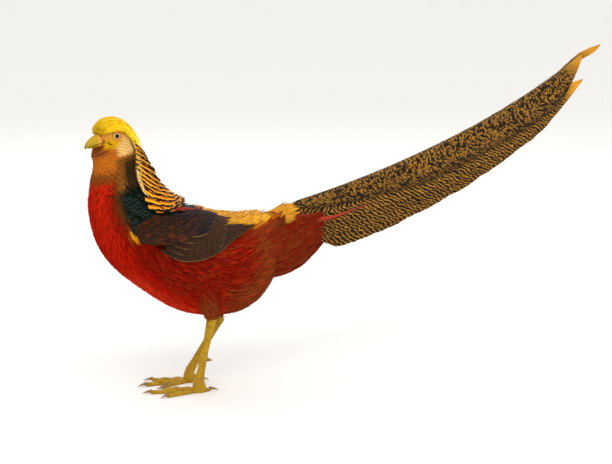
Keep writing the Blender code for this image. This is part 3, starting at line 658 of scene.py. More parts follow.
def barred_pattern(graph, colour, across, place, grain):
    """Slanting wavy ochre bars on the dark ground of the other tail feathers."""
    slant = graph.calc("ABSOLUTE", place[0])
    wave = graph.calc("ADD", place[1], graph.times(slant, 1.1))
    where = graph.stretched(place, 190.0, 130.0, 60.0)
    wave = graph.scaled(graph.noise(where, 1.0), 0.011, wave)
    bars = graph.calc("SINE", graph.times(wave, 2 * math.pi / TAIL_BAR_PERIOD))
    bar = graph.step(graph.scaled(grain, 1.0, bars), 0.45, 1.25)
    tip = graph.step(place[1], 0.060, 0.012)
    inner = graph.blend(bar, tone("tail_dark"), tone("ochre") * 0.9)
    return graph.blend(tip, inner, tone("tail_gold"))


def mix(first, last, share):
    """One colour of the bird towards another, by a share."""
    return tone(first) + (tone(last) - tone(first)) * share


def linked(name, data):
    """A new object in the scene."""
    made = bpy.data.objects.new(name, data)
    bpy.context.scene.collection.objects.link(made)
    return made


def mesh_of(name, made, smoothed=True):
    """A mesh from the bmesh, which is then freed."""
    data = bpy.data.meshes.new(name)
    made.to_mesh(data)
    made.free()
    if smoothed:
        data.shade_smooth()
    return data


def finished(name, data, look, replaced=()):
    """The finished piece, riding on the still bird's one body."""
    made = linked(name, data)
    data.materials.append(look)
    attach(made, "root")
    if replaced:
        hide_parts(*replaced)
    return made


NARROW = np.array([-1, 0, 1.0])
MIDDLING = np.array([-1, -0.5, 0, 0.5, 1.0])
WIDE = np.array([-1, -0.68, -0.34, -0.05, 0, 0.05, 0.34, 0.68, 1.0])


def lay(name, surface, x, y, half, lift, look, tint, length, width, patch=None,
        columns=NARROW, depth=None, camber=0.0003, cant=0.0, shares=None, shaft=0.0,
        slant=0.0, replaced=()):
    """One mesh of closed feathers: centre lines x, y and half widths and lifts along them.

    tint is each feather's colour, length and width its metres, patch the corner and the size of
    its own place on the bake map, and slant how much x changes with y along its square end.
    """
    count, rows = x.shape
    shares = np.linspace(0, 1, rows) if shares is None else shares
    depth = sizes().vane_depth if depth is None else depth
    across = np.concatenate([columns, columns[-2:0:-1]])
    under = np.arange(len(across)) >= len(columns)
    ring = len(across)
    bow = 1 - across**2
    high = camber * bow - np.where(under, depth * np.sqrt(bow), 0.0) - cant * across
    high = high + np.where(np.abs(across) < 0.02, shaft, 0.0) * ~under
    aside = half[..., None] * across
    slant = np.reshape(slant, (-1, 1, 1))
    points = surface(x[..., None] + slant * aside, y[..., None] + aside, lift[..., None] + high)
    points = points + OFFSET
    size = rows * ring
    row, turn = np.meshgrid(np.arange(rows - 1), np.arange(ring), indexing="ij")
    after = (turn + 1) % ring
    quads = np.stack(
        [row * ring + turn, row * ring + after, (row + 1) * ring + after, (row + 1) * ring + turn],
        -1,
    ).reshape(-1, 4)
    caps = np.stack([np.arange(ring)[::-1], (rows - 1) * ring + np.arange(ring)])
    flat = points.reshape(count, size, 3)
    flat = flat - flat.mean(axis=1, keepdims=True)
    a, b, c, d = (flat[:, quads[:, k]] for k in range(4))
    volume = (np.cross(b, c) * a + np.cross(c, d) * a).sum(axis=(1, 2))
    start = (np.arange(count) * size)[:, None, None]
    flip = (volume < 0)[:, None, None]
    quads = np.where(flip, quads[None, :, ::-1], quads[None]) + start
    caps = np.where(flip, caps[None, :, ::-1], caps[None]) + start
    loops = np.concatenate([quads.ravel(), caps.ravel()])
    counts = np.concatenate([np.full(quads.shape[0] * quads.shape[1], 4), np.full(2 * count, ring)])
    data = bpy.data.meshes.new(name)
    data.vertices.add(count * size)
    data.vertices.foreach_set("co", points.astype(np.float32).ravel())
    data.loops.add(len(loops))
    data.loops.foreach_set("vertex_index", loops.astype(np.int32))
    data.polygons.add(len(counts))
    starts = np.concatenate([[0], np.cumsum(counts)[:-1]])
    data.polygons.foreach_set("loop_start", starts.astype(np.int32))
    data.update(calc_edges=True)
    edges = np.empty(len(data.edges) * 2, np.int32)
    data.edges.foreach_get("vertices", edges)
    first, second = edges.reshape(-1, 2).T % ring
    rim = (first == second) & ((first == 0) | (first == len(columns) - 1))
    sharp = data.attributes.new("sharp_edge", "BOOLEAN", "EDGE")
    sharp.data.foreach_set("value", rim)
    wide = np.broadcast_to((across + 1) / 2, (count, rows, ring))
    long = np.broadcast_to(shares[None, :, None], (count, rows, ring))
    seed = np.broadcast_to(DRAW.random(count)[:, None, None], (count, rows, ring))
    vane = np.stack([wide, long], -1).reshape(-1, 2)
    corner, cell = patch
    bake = (corner[:, None, None, :] + cell * vane.reshape(count, rows, ring, 2)).reshape(-1, 2)
    for title, values in (("OFBake", bake), ("vane", vane)):
        chart = data.uv_layers.new(name=title)
        chart.data.foreach_set("uv", values[loops].astype(np.float32).ravel())
    spread = np.abs(half) / np.abs(half).max(axis=1, keepdims=True)
    metres_across = across * (spread * np.asarray(width).reshape(-1, 1) / 2)[..., None]
    metres_back = (1 - long) * np.asarray(length).reshape(-1, 1, 1)
    place = data.attributes.new("place", "FLOAT_VECTOR", "POINT")
    place.data.foreach_set(
        "vector", np.stack([metres_across, metres_back, seed], -1).astype(np.float32).ravel()
    )
    tint = np.asarray(tint, float)
    if tint.ndim == 1:
        tint = np.broadcast_to(tint, (count, 3))
    if tint.ndim == 2:
        tint = np.broadcast_to(tint[:, None], (count, rows, 3))
    shown = np.concatenate([tint, np.ones((count, rows, 1))], -1)
    shown = np.broadcast_to(shown[:, :, None], (count, rows, ring, 4))
    paint = data.color_attributes.new("tint", "FLOAT_COLOR", "POINT")
    paint.data.foreach_set("color", shown.astype(np.float32).ravel())
    data.shade_smooth()
    return finished(name, data, look, replaced)


TUFT_PATCH = 0.003


def tuft_patch(s, around):
    """A tuft's corner on the unwrap of the body, and the size of its patch."""
    u = (around / (2 * math.pi)) % 1.0
    return np.stack([u * (1 - TUFT_PATCH), np.clip(s, 0, 1) * (1 - TUFT_PATCH)], -1), TUFT_PATCH


def strip_patch(count):
    """A strip of the bake map for each long feather, in order."""
    columns = math.ceil(math.sqrt(count * 4))
    rows = math.ceil(count / columns)
    k = np.arange(count)
    corner = np.stack([(k % columns) / columns, (k // columns) / rows], -1)
    return corner + 0.002, np.array([1 / columns, 1 / rows]) - 0.004


def blade(t, tip, sharp=0.5):
    """Share of a feather's full width at share t of its length. It closes from tip on."""
    opening = 0.35 + 0.65 * np.clip(t / 0.4, 0, 1)
    closing = np.clip((t - tip) / (1 - tip), 0, 1)
    return opening * np.clip(1 - 0.97 * closing**2, 0, 1) ** sharp


def small_steps(surface, x, y):
    """How far a surface goes in two small steps of x, and in two of y."""
    along = surface(x + SMALL_STEP, y, 0.0) - surface(x - SMALL_STEP, y, 0.0)
    return along, surface(x, y + SMALL_STEP, 0.0) - surface(x, y - SMALL_STEP, 0.0)


def unit_sizes(surface, x, y):
    """Metres for each unit of x and of y on a surface."""
    found = (np.linalg.norm(side, axis=-1) / (2 * SMALL_STEP) for side in small_steps(surface, x, y))
    return (np.maximum(side, SMALL_STEP) for side in found)


def grow(surface, x, y, length, width, drift, shares, tip=0.6, sharp=0.5, from_tip=False):
    """Centre lines of feathers that lie towards lower x, from their roots or tips, and half widths."""
    places = [(x, y)]
    reach = -length if from_tip else length
    for step in np.diff(shares):
        along, across = unit_sizes(surface, x, y)
        x = x - np.cos(drift) * reach * step / along
        y = y + np.sin(drift) * reach * step / across
        places.append((x, y))
    x, y = (np.stack(column, 1) for column in zip(*places))
    if from_tip:
        x, y = x[:, ::-1], y[:, ::-1]
    across = list(unit_sizes(surface, x, y))[1]
    return x, y, 0.5 * np.asarray(width)[:, None] * blade(shares, tip, sharp) / across


# Steps that spread a series of points evenly in three directions.
EVEN_STRIDES = (0.8191725134, 0.6710436067, 0.5497004779)


def scatter(surface, x_range, y_range, density):
    """Evenly spread places on a surface, as many to a square metre as density(x, y) says."""

    def weight(x, y):
        area = np.linalg.norm(np.cross(*small_steps(surface, x, y)), axis=-1) / (2 * SMALL_STEP) ** 2
        return area * density(x, y)

    grid = np.meshgrid(np.linspace(*x_range, 80), np.linspace(*y_range, 90), indexing="ij")
    most = weight(*grid).max()
    count = int(most * (x_range[1] - x_range[0]) * (y_range[1] - y_range[0]) * sizes().density)
    k = np.arange(1, count + 1)
    first, second, third = ((k * stride) % 1 for stride in EVEN_STRIDES)
    x = x_range[0] + (x_range[1] - x_range[0]) * first
    y = y_range[0] + (y_range[1] - y_range[0]) * second
    kept = third < weight(x, y) / most
    return x[kept], y[kept]


def under_wing(s, around):
    """Whether a place on the body is hidden well under a folded wing."""
    low, high = (
        np.interp(s, WING[::-1, 1], (WING[:, 2] + k * WING[:, 3])[::-1]) for k in (-0.8, 0.8)
    )
    height = elevation(around)
    return (s > 0.16) & (s < 0.655) & (height > low) & (height < high)


# Where the feathers of the vent leave the body, how many there are, where they end under the tail,
# how far they bulge and how wide one is.
VENT_S, VENT_COUNT, VENT_END, VENT_BULGE, VENT_WIDTH = 0.13, 1500, (-0.200, -0.006, 0.189), 0.014, 0.0034
VENT_END_WIDE, VENT_END_HIGH = 0.008, 0.016
# Body feathers along the spine: length and width in millimetres.
FEATHER_S = [0.0, 0.15, 0.35, 0.55, 0.70, 0.80, 0.86, 0.91, 0.95, 1.0]
FEATHER_LENGTH = [26, 24, 21, 17, 13, 10, 7, 4.2, 2.6, 1.7]
FEATHER_WIDTH = [5.5, 5.5, 5.0, 4.6, 3.9, 2.9, 2.2, 1.6, 1.15, 0.9]
# Share of a body feather's length and width that its neighbours leave bare, and the spine's metres.
SHOWN_LENGTH, SHOWN_WIDTH, SPINE_METRES = 0.26, 0.52, 0.4


def coat_depth(s):
    """How deep the skin lies under the tips of the feathers."""
    return np.interp(s, [0.80, 0.93, 1.0], [sizes().coat_depth, 0.0013, sizes().face_depth])


def coat(name, look, slot, s_range, keep, stretch=(1.0, 1.0), crowd=1.0, bends=5, proud=0.0003,
         tip=0.55, sharp=0.6, tint=None, stand=0.0, streak=0.12):
    """A tract of body feathers where keep(s, around) holds."""

    def span(s):
        length = np.interp(s, FEATHER_S, FEATHER_LENGTH) * stretch[0] / 1000
        return length, np.interp(s, FEATHER_S, FEATHER_WIDTH) * stretch[1] / 1000

    def density(s, around):
        length, width = span(s)
        return np.where(keep(s, around), crowd / (SHOWN_LENGTH * length * SHOWN_WIDTH * width), 0.0)

    s, around = scatter(above_body, s_range, (-math.pi / 2, 1.5 * math.pi), density)
    count = len(s)
    length, width = span(s)
    length = length * DRAW.uniform(0.82, 1.15, count)
    width = width * DRAW.uniform(0.85, 1.15, count)
    drift = DRAW.normal(0, 0.09, count)
    shares = np.linspace(0, 1, bends)
    rough_edge = DRAW.uniform(-0.3, 0.3, count) * np.interp(s, [0.84, 0.92], [1.0, 0.5])
    colour = body_colour(s - 0.5 * length / SPINE_METRES, around, rough_edge)
    colour = colour if tint is None else tint(s, around, colour)
    colour = colour * DRAW.uniform(1 - streak, 1 + streak, (count, 1))
    deep = coat_depth(s)
    x, y, half = grow(above_body, s, around, length, width, drift, shares, tip, sharp)
    top = proud + stand * DRAW.random(count) + DRAW.uniform(-0.2, 0.2, count) * deep
    lift = -deep[:, None] * 1.05 * (1 - shares) ** 1.2 + top[:, None] * shares
    lay(name, above_body, x, y, half, lift, look, colour, length, width,
        tuft_patch(s, around), camber=0.0002, shares=shares)


def rolled(rings):
    """A closed bmesh through rings of equally many points, rolled up from a grid."""
    rings = np.asarray(rings, float)
    count, sides = rings.shape[:2]
    made = bmesh.new()
    bmesh.ops.create_grid(made, x_segments=sides, y_segments=count - 1, size=0.5)
    chart = made.loops.layers.uv.new("scales")
    for face in made.faces:
        for loop in face.loops:
            loop[chart].uv = (loop.vert.co.x + 0.5, loop.vert.co.y + 0.5)
    for point in made.verts:
        column = round((point.co.x + 0.5) * sides) % sides
        point.co = rings[round((point.co.y + 0.5) * (count - 1)), column] + OFFSET
    bmesh.ops.remove_doubles(made, verts=made.verts, dist=1e-6)
    bmesh.ops.holes_fill(made, edges=made.edges, sides=0)
    bmesh.ops.recalc_face_normals(made, faces=made.faces)
    return made


def join_on(whole, made):
    """Adds a bmesh to the whole, and frees it."""
    part = mesh_of("part", made, smoothed=False)
    whole.from_mesh(part)
    bpy.data.meshes.remove(part)


def tubes(name, ring_sets, look, replaced=()):
    """One piece of several rolled-up forms."""
    whole = bmesh.new()
    whole.loops.layers.uv.new("scales")
    for rings in ring_sets:
        join_on(whole, rolled(rings))
    return finished(name, mesh_of(name, whole), look, replaced)


def ring(middle, forward, half_width, rise, sides, drop=None):
    """An oval ring round middle, square to forward, this far out to each side, up and down."""
    forward = Vector(forward).normalized()
    side = Vector((0, 0, 1)).cross(forward)
    if side.length < 1e-3:
        side = Vector((0, -1, 0))
    side.normalize()
    up = forward.cross(side)
    drop = rise if drop is None else drop
    angle = 2 * math.pi * np.arange(sides) / sides
    high = np.where(np.sin(angle) > 0, rise, drop) * np.sin(angle)
    wide = half_width * np.cos(angle)
    return np.array(middle) + np.outer(wide, side) + np.outer(high, up)


def leg_points(side_name, side):
    """Foot, ankle, hock and hip, with the directions of shank and of the fold at the hock."""
    foot = Vector((FOOT_X[side_name], side * FOOT_Y, 0))
    lean = SHANK_LEAN[side_name]
    lean = Vector((-math.sin(lean), 0, math.cos(lean)))
    ankle = foot + Vector((0, 0, ANKLE_HEIGHT)) + lean * 0.001
    hock = ankle + lean * SHANK_LENGTH
    hip = Vector((HIP[0], side * HIP[1], HIP[2]))
    fold = (lean + (hip - hock).normalized()).normalized()
    return foot, ankle, hock, hip, lean, fold


def on_thigh(side_name, side):
    """The feathered thigh's surface: x from the hock to the hip, y round it, and lift."""
    _, _, hock, hip, _, fold = leg_points(side_name, side)
    up = hip - hock
    forward = np.array(up.normalized())
    right = np.cross((0, 0, 1), forward)
    right /= np.linalg.norm(right)
    front = np.cross(forward, right)
    table = np.array(THIGH_SECTIONS)

    def surface(x, y, lift):
        x, y, lift = alike(x, y, lift)
        wide = np.interp(x, table[:, 0], table[:, 1]) + lift
        deep = np.interp(x, table[:, 0], table[:, 2]) + lift
        across = (wide * np.cos(y))[..., None] * right + (deep * np.sin(y))[..., None] * front
        return np.array(hock + fold * 0.0008) + np.array(up) * x[..., None] + across

    return surface


# The skin's mesh, how sparsely its colour is looked up, and how deep it lies on the thighs.
SKIN_FROM, SKIN_ROWS, SKIN_SIDES, SKIN_SPARSE, SKIN_BATCH = 0.004, 150, 96, 3, 2000
THIGH_SKIN_ROWS, THIGH_SKIN_DEPTH = 30, 0.0022


class PHEASANT_OT_skin(bpy.types.Operator):
    """One skin under the coat of body, neck, head and thighs"""

    bl_idname = "pheasant.skin"
    bl_label = "Skin"
    bl_options = {"REGISTER", "UNDO"}

    def execute(self, context):
        places = np.linspace(SKIN_FROM, FACE_S, SKIN_ROWS)
        around = np.linspace(0, 2 * math.pi, SKIN_SIDES, endpoint=False)
        s, angle = np.meshgrid(places, around, indexing="ij")
        whole = rolled(above_body(s, angle, -coat_depth(s)))
        for side_name, side in SIDES:
            rows = np.linspace(0, 1, THIGH_SKIN_ROWS)
            x, y = np.meshgrid(rows, around[::SKIN_SPARSE], indexing="ij")
            join_on(whole, rolled(on_thigh(side_name, side)(x, y, -THIGH_SKIN_DEPTH)))
        data = mesh_of("skin", whole)
        points = np.empty(len(data.vertices) * 3)
        data.vertices.foreach_get("co", points)
        points = points.reshape(-1, 3) - OFFSET
        body_size = len(data.vertices)
        s, angle = (values[::SKIN_SPARSE, ::SKIN_SPARSE] for values in (s, angle))
        sample = on_body(s, angle).reshape(-1, 3)
        nearest = np.empty(body_size, int)
        for first in range(0, body_size, SKIN_BATCH):
            gap = points[first:first + SKIN_BATCH, None] - sample[None]
            nearest[first:first + SKIN_BATCH] = (gap**2).sum(-1).argmin(1)
        near_s, near_angle = (values.ravel()[nearest] for values in (s, angle))
        colour = body_colour(near_s, near_angle)
        colour = colour * np.interp(near_s, [0.82, 0.93], [0.6, 0.9])[:, None]
        paint = data.color_attributes.new("tint", "FLOAT_COLOR", "POINT")
        paint.data.foreach_set("color", np.column_stack([colour, np.ones(body_size)]).ravel())
        graph = Graph("down", roughness=0.9, specular_ior_level=0.1)
        where = graph.here()
        fluff = graph.noise(where, 900.0, 4.0)
        shade = graph.scaled(fluff, 0.9, 0.4)
        graph.bump(fluff, 0.0006)
        graph.paint(graph.shaded(graph.attribute("tint"), shade))
        finished("skin", data, graph.made,
                 ("torso", "neck", "head", "thigh_left", "thigh_right"))
        return {"FINISHED"}


def on_face(s, around):
    """Whether a place is clear of the eye and its lid."""
    along = (s - EYE_S) * FACE_ALONG
    left = np.hypot(along, (around - EYE_ROUND) * FACE_ROUND)
    right = np.hypot(along, (around - math.pi + EYE_ROUND) * FACE_ROUND)
    return np.minimum(left, right) > EYE_CLEAR


class PHEASANT_OT_body_coat(bpy.types.Operator):
    """Silky feathers of the breast, belly and flanks"""

    bl_idname = "pheasant.body_coat"
    bl_label = "Breast and flanks"
    bl_options = {"REGISTER", "UNDO"}

    def execute(self, context):
        look = feather_look("silk", roughness=0.8, gloss=0.02, fray=0.36, barbs=7.0)

        def strands(s, around, colour):
            """Rusty and orange strands among the red ones of the flank."""
            side = smooth(-s, -0.62, -0.45) * smooth(elevation(around), -78, -45)
            share = (DRAW.random(len(s)) < 0.36 * side) * DRAW.uniform(0.15, 0.6, len(s))
            other = np.where(DRAW.random((len(s), 1)) < 0.7, tone("rust"), tone("scarlet_light"))
            return colour + (other - colour) * share[:, None]

        silky = {"stretch": (1.3, 0.52), "crowd": 1.0, "tip": 0.25, "sharp": 1.0, "streak": 0.22,
                 "tint": strands}
        coat("coat_belly", look, "red_plumage", (0.06, 0.42),
             lambda s, a: (elevation(a) < 42) & ~under_wing(s, a), **silky)
        coat("coat_breast", look, "red_plumage", (0.42, 0.79),
             lambda s, a: (elevation(a) < 30) & ~under_wing(s, a), **silky)
        self.vent(look)
        return {"FINISHED"}

    def vent(self, look):
        """Long loose feathers that stream from the vent under the tail."""

        def surface(x, y, lift):
            x, y, lift = alike(x, y, lift)
            back, aside, high = VENT_END
            end_y, end_z = VENT_END_WIDE * np.cos(y) + aside, high + VENT_END_HIGH * np.sin(y)
            end = np.stack([back + 0 * y, end_y, end_z], -1)
            start = above_body(VENT_S, y, lift)
            low = 0.1 + 0.9 * np.clip(-np.sin(y), 0, 1)
            bulge = (VENT_BULGE * np.sin(np.clip(-x, 0, 1) * math.pi) * low)[..., None]
            out = np.stack([0 * y, np.cos(y), np.sin(y)], -1)
            return start + (end - start) * -x[..., None] + out * (bulge + (lift * -x)[..., None])

        count = VENT_COUNT
        y = DRAW.uniform(-math.pi - 0.3, 0.3, count)
        x = DRAW.uniform(-0.50, 0.12, count)
        length = DRAW.uniform(0.026, 0.044, count)
        width = np.full(count, VENT_WIDTH)
        t = np.linspace(0, 1, 6)
        drift = DRAW.normal(0, 0.08, count)
        x, y, half = grow(surface, x, y, length, width, drift, t, 0.3, 0.9)
        lift = -0.0030 + (0.0036 + DRAW.uniform(-0.0008, 0.0008, (count, 1))) * t**0.6
        share = DRAW.random((count, 1))
        tint = mix("rust", "scarlet_dark", share) * 0.8
        corner = np.stack([(y[:, 0] / (2 * math.pi)) % 1 * 0.99, 0.06 + 0.05 * x[:, 0]], -1)
        lay("coat_vent", surface, x, y, half, lift, look, tint, length, width,
            (corner, TUFT_PATCH), camber=0.0003)


class PHEASANT_OT_face_coat(bpy.types.Operator):
    """Short feathers of the throat and cheeks, smallest round the eye and bill"""

    bl_idname = "pheasant.face_coat"
    bl_label = "Throat and face"
    bl_options = {"REGISTER", "UNDO"}

    def execute(self, context):
        look = feather_look("short_silk", roughness=0.8, gloss=0.03, fray=0.26, barbs=6.0, root=0.15)
        coat("coat_throat", look, "red_plumage", (0.79, 0.905),
             lambda s, a: elevation(a) < 34, crowd=1.1)
        coat("coat_face", look, "gold_plumage", (0.905, 0.997),
             lambda s, a: (elevation(a) < 50) & on_face(s, a), stretch=(1.0, 1.2), crowd=1.45,
             bends=4, proud=0.0001)
        return {"FINISHED"}


class PHEASANT_OT_mantle(bpy.types.Operator):
    """Broad dark green scales behind the cape and at its sides"""

    bl_idname = "pheasant.mantle"
    bl_label = "Mantle"
    bl_options = {"REGISTER", "UNDO"}

    def execute(self, context):
        look = feather_look("mantle", mantle_pattern, roughness=0.5, gloss=0.12, fray=0.2)
        coat("mantle", look, "brown_plumage", (0.43, 0.775),
             lambda s, a: ((s < 0.70) & (elevation(a) > np.interp(s, [0.54, 0.66], [40, 10]))) | (
                 (s > 0.655) & (elevation(a) > -28) & (elevation(a) < 60)),
             stretch=(0.95, 2.0), crowd=0.75, bends=6, proud=0.0011, tip=0.7,
             tint=lambda s, a, c: np.broadcast_to(tone("green"), (len(s), 3)))
        return {"FINISHED"}


def sunk(x, most=1.0):
    """How deep feathers sink towards the tail's root, x metres behind it."""
    return TAIL_SINK * np.clip(1 - x / TAIL_SINK_LENGTH, 0, most)


def spread(x, least):
    """Share of their full spread that the tail's feathers have x metres behind its root."""
    return np.clip(least + (1 - least) * x / FULL_SPREAD, 0.3, 1)


class PHEASANT_OT_rump(bpy.types.Operator):
    """Golden hackles of back and rump, and the coverts over the tail's root"""

    bl_idname = "pheasant.rump"
    bl_label = "Rump"
    bl_options = {"REGISTER", "UNDO"}

    def execute(self, context):
        look = feather_look("hackle", roughness=0.5, gloss=0.2, fray=0.34, barbs=8.0)

        def gold(s, around, colour):
            share = DRAW.random(len(s))[:, None]
            return tone("rump") * (0.75 + 0.35 * share)

        coat("rump_hackles", look, "gold_plumage", (0.23, 0.50),
             lambda s, a: elevation(a) > np.interp(s, [0.16, 0.3, 0.5], [40, 52, 62]),
             stretch=(1.15, 0.55), crowd=0.9, bends=6, proud=0.0022, tip=0.25, sharp=0.9,
             tint=gold, stand=0.0008)
        coat("rump_low", look, "gold_plumage", (0.09, 0.26),
             lambda s, a: elevation(a) > np.interp(s, [0.09, 0.26], [40, 48]),
             stretch=(0.66, 0.55), crowd=0.9, proud=0.0016, tip=0.25, sharp=0.9, tint=gold)
        count = 150
        side = DRAW.uniform(-1, 1, count)
        start = DRAW.uniform(-0.080, -0.058, count)
        length = DRAW.uniform(0.016, 0.026, count)
        t = np.linspace(0, 1, 8)
        x = start[:, None] + length[:, None] * t
        y = side[:, None] * 0.029 * spread(x + 0.03, 0.45)
        half = 0.0020 * blade(t, 0.3, 0.9) * np.ones((count, 1))
        lift = 0.0050 - 0.0030 * np.abs(side)[:, None] - sunk(x, 1.2)
        lift = lift + DRAW.uniform(-4e-4, 4e-4, (count, 1))
        tint = tone("rump") * DRAW.uniform(0.6, 0.95, (count, 1))
        lay("tail_coverts_gold", on_tail, x, y, half, lift, look, tint, length,
            np.full(count, 0.0048), strip_patch(count), camber=0.0004)
        return {"FINISHED"}


# Cape: where its front edge lies in degrees along the spine, and where a row of feathers that ends
# at one share of the spine at that edge ends at the back.
CAPE_FRONT = ([0.70, 0.740, 0.779, 0.818, 0.847, 0.883, 0.906], [3, 10, 7, 5, 10, 19, 22])
CAPE_TIPS = ([0.690, 0.740, 0.779, 0.818, 0.847, 0.883, 0.902],
             [0.532, 0.57, 0.635, 0.705, 0.780, 0.825, 0.855])
# Its rows, the share of the spine where the first and last ones end, and a feather's width and
# length in them.
CAPE_ROWS, CAPE_FIRST, CAPE_LAST = 12, 0.886, 0.668
CAPE_WIDTH, CAPE_LENGTH, CAPE_EDGE_COUNT, CAPE_EDGE_WIDTH = (0.0088, 0.0185), (0.015, 0.030), 90, 0.0017


class PHEASANT_OT_cape(bpy.types.Operator):
    """Rows of square-ended barred feathers that hang over the neck"""

    bl_idname = "pheasant.cape"
    bl_label = "Cape"
    bl_options = {"REGISTER", "UNDO"}

    def execute(self, context):
        look = feather_look("cape", cape_pattern, roughness=0.5, gloss=0.1, fray=0.26,
                            barbs=12.0, root=0.2)
        found = []
        for row in range(CAPE_ROWS):
            share = (row / (CAPE_ROWS - 1)) ** 1.25
            front_tip = CAPE_FIRST + (CAPE_LAST - CAPE_FIRST) * share
            back_tip = np.interp(front_tip, *CAPE_TIPS)
            width = np.interp(share, [0, 1], CAPE_WIDTH)
            girth = list(unit_sizes(above_body, front_tip, 0.5))[1]
            front = math.radians(np.interp(front_tip, *CAPE_FRONT)) + 0.40 * width / girth
            count = 9 + row % 2
            around = front + (math.pi - 2 * front) * np.linspace(0, 1, count)
            slope = (front_tip - back_tip) / (math.pi / 2 - front)
            tip = back_tip + slope * np.abs(around - math.pi / 2)
            along, across = unit_sizes(above_body, tip, around)
            lean = slope * np.clip((around - math.pi / 2) / 0.35, -1, 1)
            drift = np.arctan(0.6 * lean * along / across)
            back = np.clip(np.sin(around), 0, 1)
            length = np.interp(share, [0, 1], CAPE_LENGTH) * (0.7 + 0.3 * back)
            lift = 0.0034 + 0.0040 * (1 - share * 0.4) * back
            found.append(np.stack([tip, around, length, width + 0 * tip, lift, drift, lean], -1))
        s, around, length, width, top, drift, lean = np.vstack(found).T
        count = len(s)
        drift = drift + DRAW.normal(0, 0.02, count)
        t = np.linspace(0, 1, 12)
        x, y, half = grow(above_body, s, around, length, width, drift, t, 0.9, 0.4, from_tip=True)
        lift = np.interp(t, [0, 0.12, 0.6, 1], [-0.0012, 0.10, 0.72, 1.0])
        lift = np.where(t[None] > 0, top[:, None] * lift, -0.0012)
        shown = length * np.interp(width, CAPE_WIDTH, [1.35, 0.85])
        share = smooth(s, 0.87, 0.60)[:, None]
        tint = tone("cape") + (tone("gold") - tone("cape")) * 0.45 * (1 - share)
        lay("cape", above_body, x, y, half, lift, look, tint, shown, width,
            strip_patch(count), columns=WIDE, camber=0.0006, slant=lean)
        self.edge()
        return {"FINISHED"}

    def edge(self):
        """Slender cream feathers along the front edge of the cape, on both sides."""
        look = feather_look("cape_edge", roughness=0.6, gloss=0.06, fray=0.3, barbs=8.0)
        count = CAPE_EDGE_COUNT
        s = np.repeat(np.linspace(0.915, 0.775, count // 2), 2)
        around = np.radians(np.interp(s, *CAPE_FRONT) + DRAW.uniform(-3.0, 2.0, count))
        around = np.where(np.arange(count) % 2, around, math.pi - around)
        length = DRAW.uniform(0.012, 0.017, count)
        width = np.full(count, CAPE_EDGE_WIDTH)
        t = np.linspace(0, 1, 6)
        drift = DRAW.normal(0, 0.05, count)
        x, y, half = grow(above_body, s, around, length, width, drift, t, 0.4, 0.8)
        lift = np.interp(t, [0, 0.2, 1], [-0.001, 0.003, 0.0048]) * np.ones((count, 1))
        tint = tone("cheek") * DRAW.uniform(0.7, 1.0, (count, 1))
        lay("cape_edge", above_body, x, y, half, lift, look, tint, length, width,
            tuft_patch(s, around), camber=0.0003)


# Crest: how many locks, how many of them are a short frill at the bill, and the share of the
# spine where it starts over the nape.
CREST_COUNT, CREST_FRILL, CREST_S = 3700, 500, 0.903


class PHEASANT_OT_crest(bpy.types.Operator):
    """Silky golden locks from the forehead back over the nape"""

    bl_idname = "pheasant.crest"
    bl_label = "Crest"
    bl_options = {"REGISTER", "UNDO"}

    def execute(self, context):
        look = feather_look("crest", roughness=0.5, gloss=0.12, fray=0.30, barbs=3.0, root=0.15)
        count, frill = CREST_COUNT, CREST_FRILL
        s = CREST_S + 0.094 * DRAW.random(count) ** 0.75
        s[:frill] = DRAW.uniform(0.984, 0.999, frill)
        front = np.interp(s, [CREST_S, 0.93, 0.95, 0.962, 0.985, 0.997], [34, 32, 27, 26, 30, 22])
        front[:frill] = 48
        around = np.radians(front + (180 - 2 * front) * DRAW.random(count))
        length = np.interp(s, [CREST_S, 0.93, 0.962, 0.995], [0.013, 0.020, 0.033, 0.040])
        length = length * DRAW.uniform(0.72, 1.05, count)
        length[:frill] = DRAW.uniform(0.0020, 0.0042, frill)
        width = DRAW.uniform(0.0007, 0.0012, count)
        high = np.interp(s, [CREST_S, 0.93, 0.95, 0.985, 0.997],
                         [0.0064, 0.0062, 0.0056, 0.0062, 0.0070])
        high = high * (0.35 + 0.65 * np.sin(around)) * DRAW.uniform(0.35, 1.08, count)
        high[:frill] *= 0.3
        drift = np.radians(5) * np.cos(around) + DRAW.normal(0, 0.09, count)
        drift[:frill] += math.pi + DRAW.normal(0, 0.7, frill)
        t = np.linspace(0, 1, 7)
        x, y, half = grow(above_body, s, around, length, width, drift, t, 0.3, 1.0)
        bulge = 0.019 * smooth(s, 0.960, 0.995) * np.sin(around)
        bulge[:frill] = 0
        x = x + bulge[:, None] * np.interp(t, [0, 0.15, 0.35, 0.6], [0.4, 1.0, 0.45, 0.0])
        rise = np.interp(t, [0, 0.17, 0.35, 0.7, 1], [0, 0.85, 1.0, 0.95, 0.78])
        lift = high[:, None] * rise
        lift[:, 0] = -0.0008
        pale = smooth(s[:, None] - 0.06 * t, 0.985, 0.90)[..., None]
        tint = mix("gold_olive", "gold", np.clip(pale * 2, 0, 1))
        tint = tint + (tone("gold_pale") - tint) * np.clip(pale * 2 - 1, 0, 1)
        # Painted shade: the frill's upturned locks are darkened to match the shaded front of the crest.
        tint[:frill] *= DRAW.uniform(0.45, 0.75, (frill, 1, 1))
        lay("crest", above_body, x, y, half, lift, look, tint, length, width,
            tuft_patch(s, around), camber=0.0002)
        return {"FINISHED"}


# The red line along the wing's upper edge: share of the spine, and degrees round the body.
SCAPULAR_LINE = ([0.44, 0.52, 0.60, 0.653, 0.70], [70, 61, 50, 36, 12])


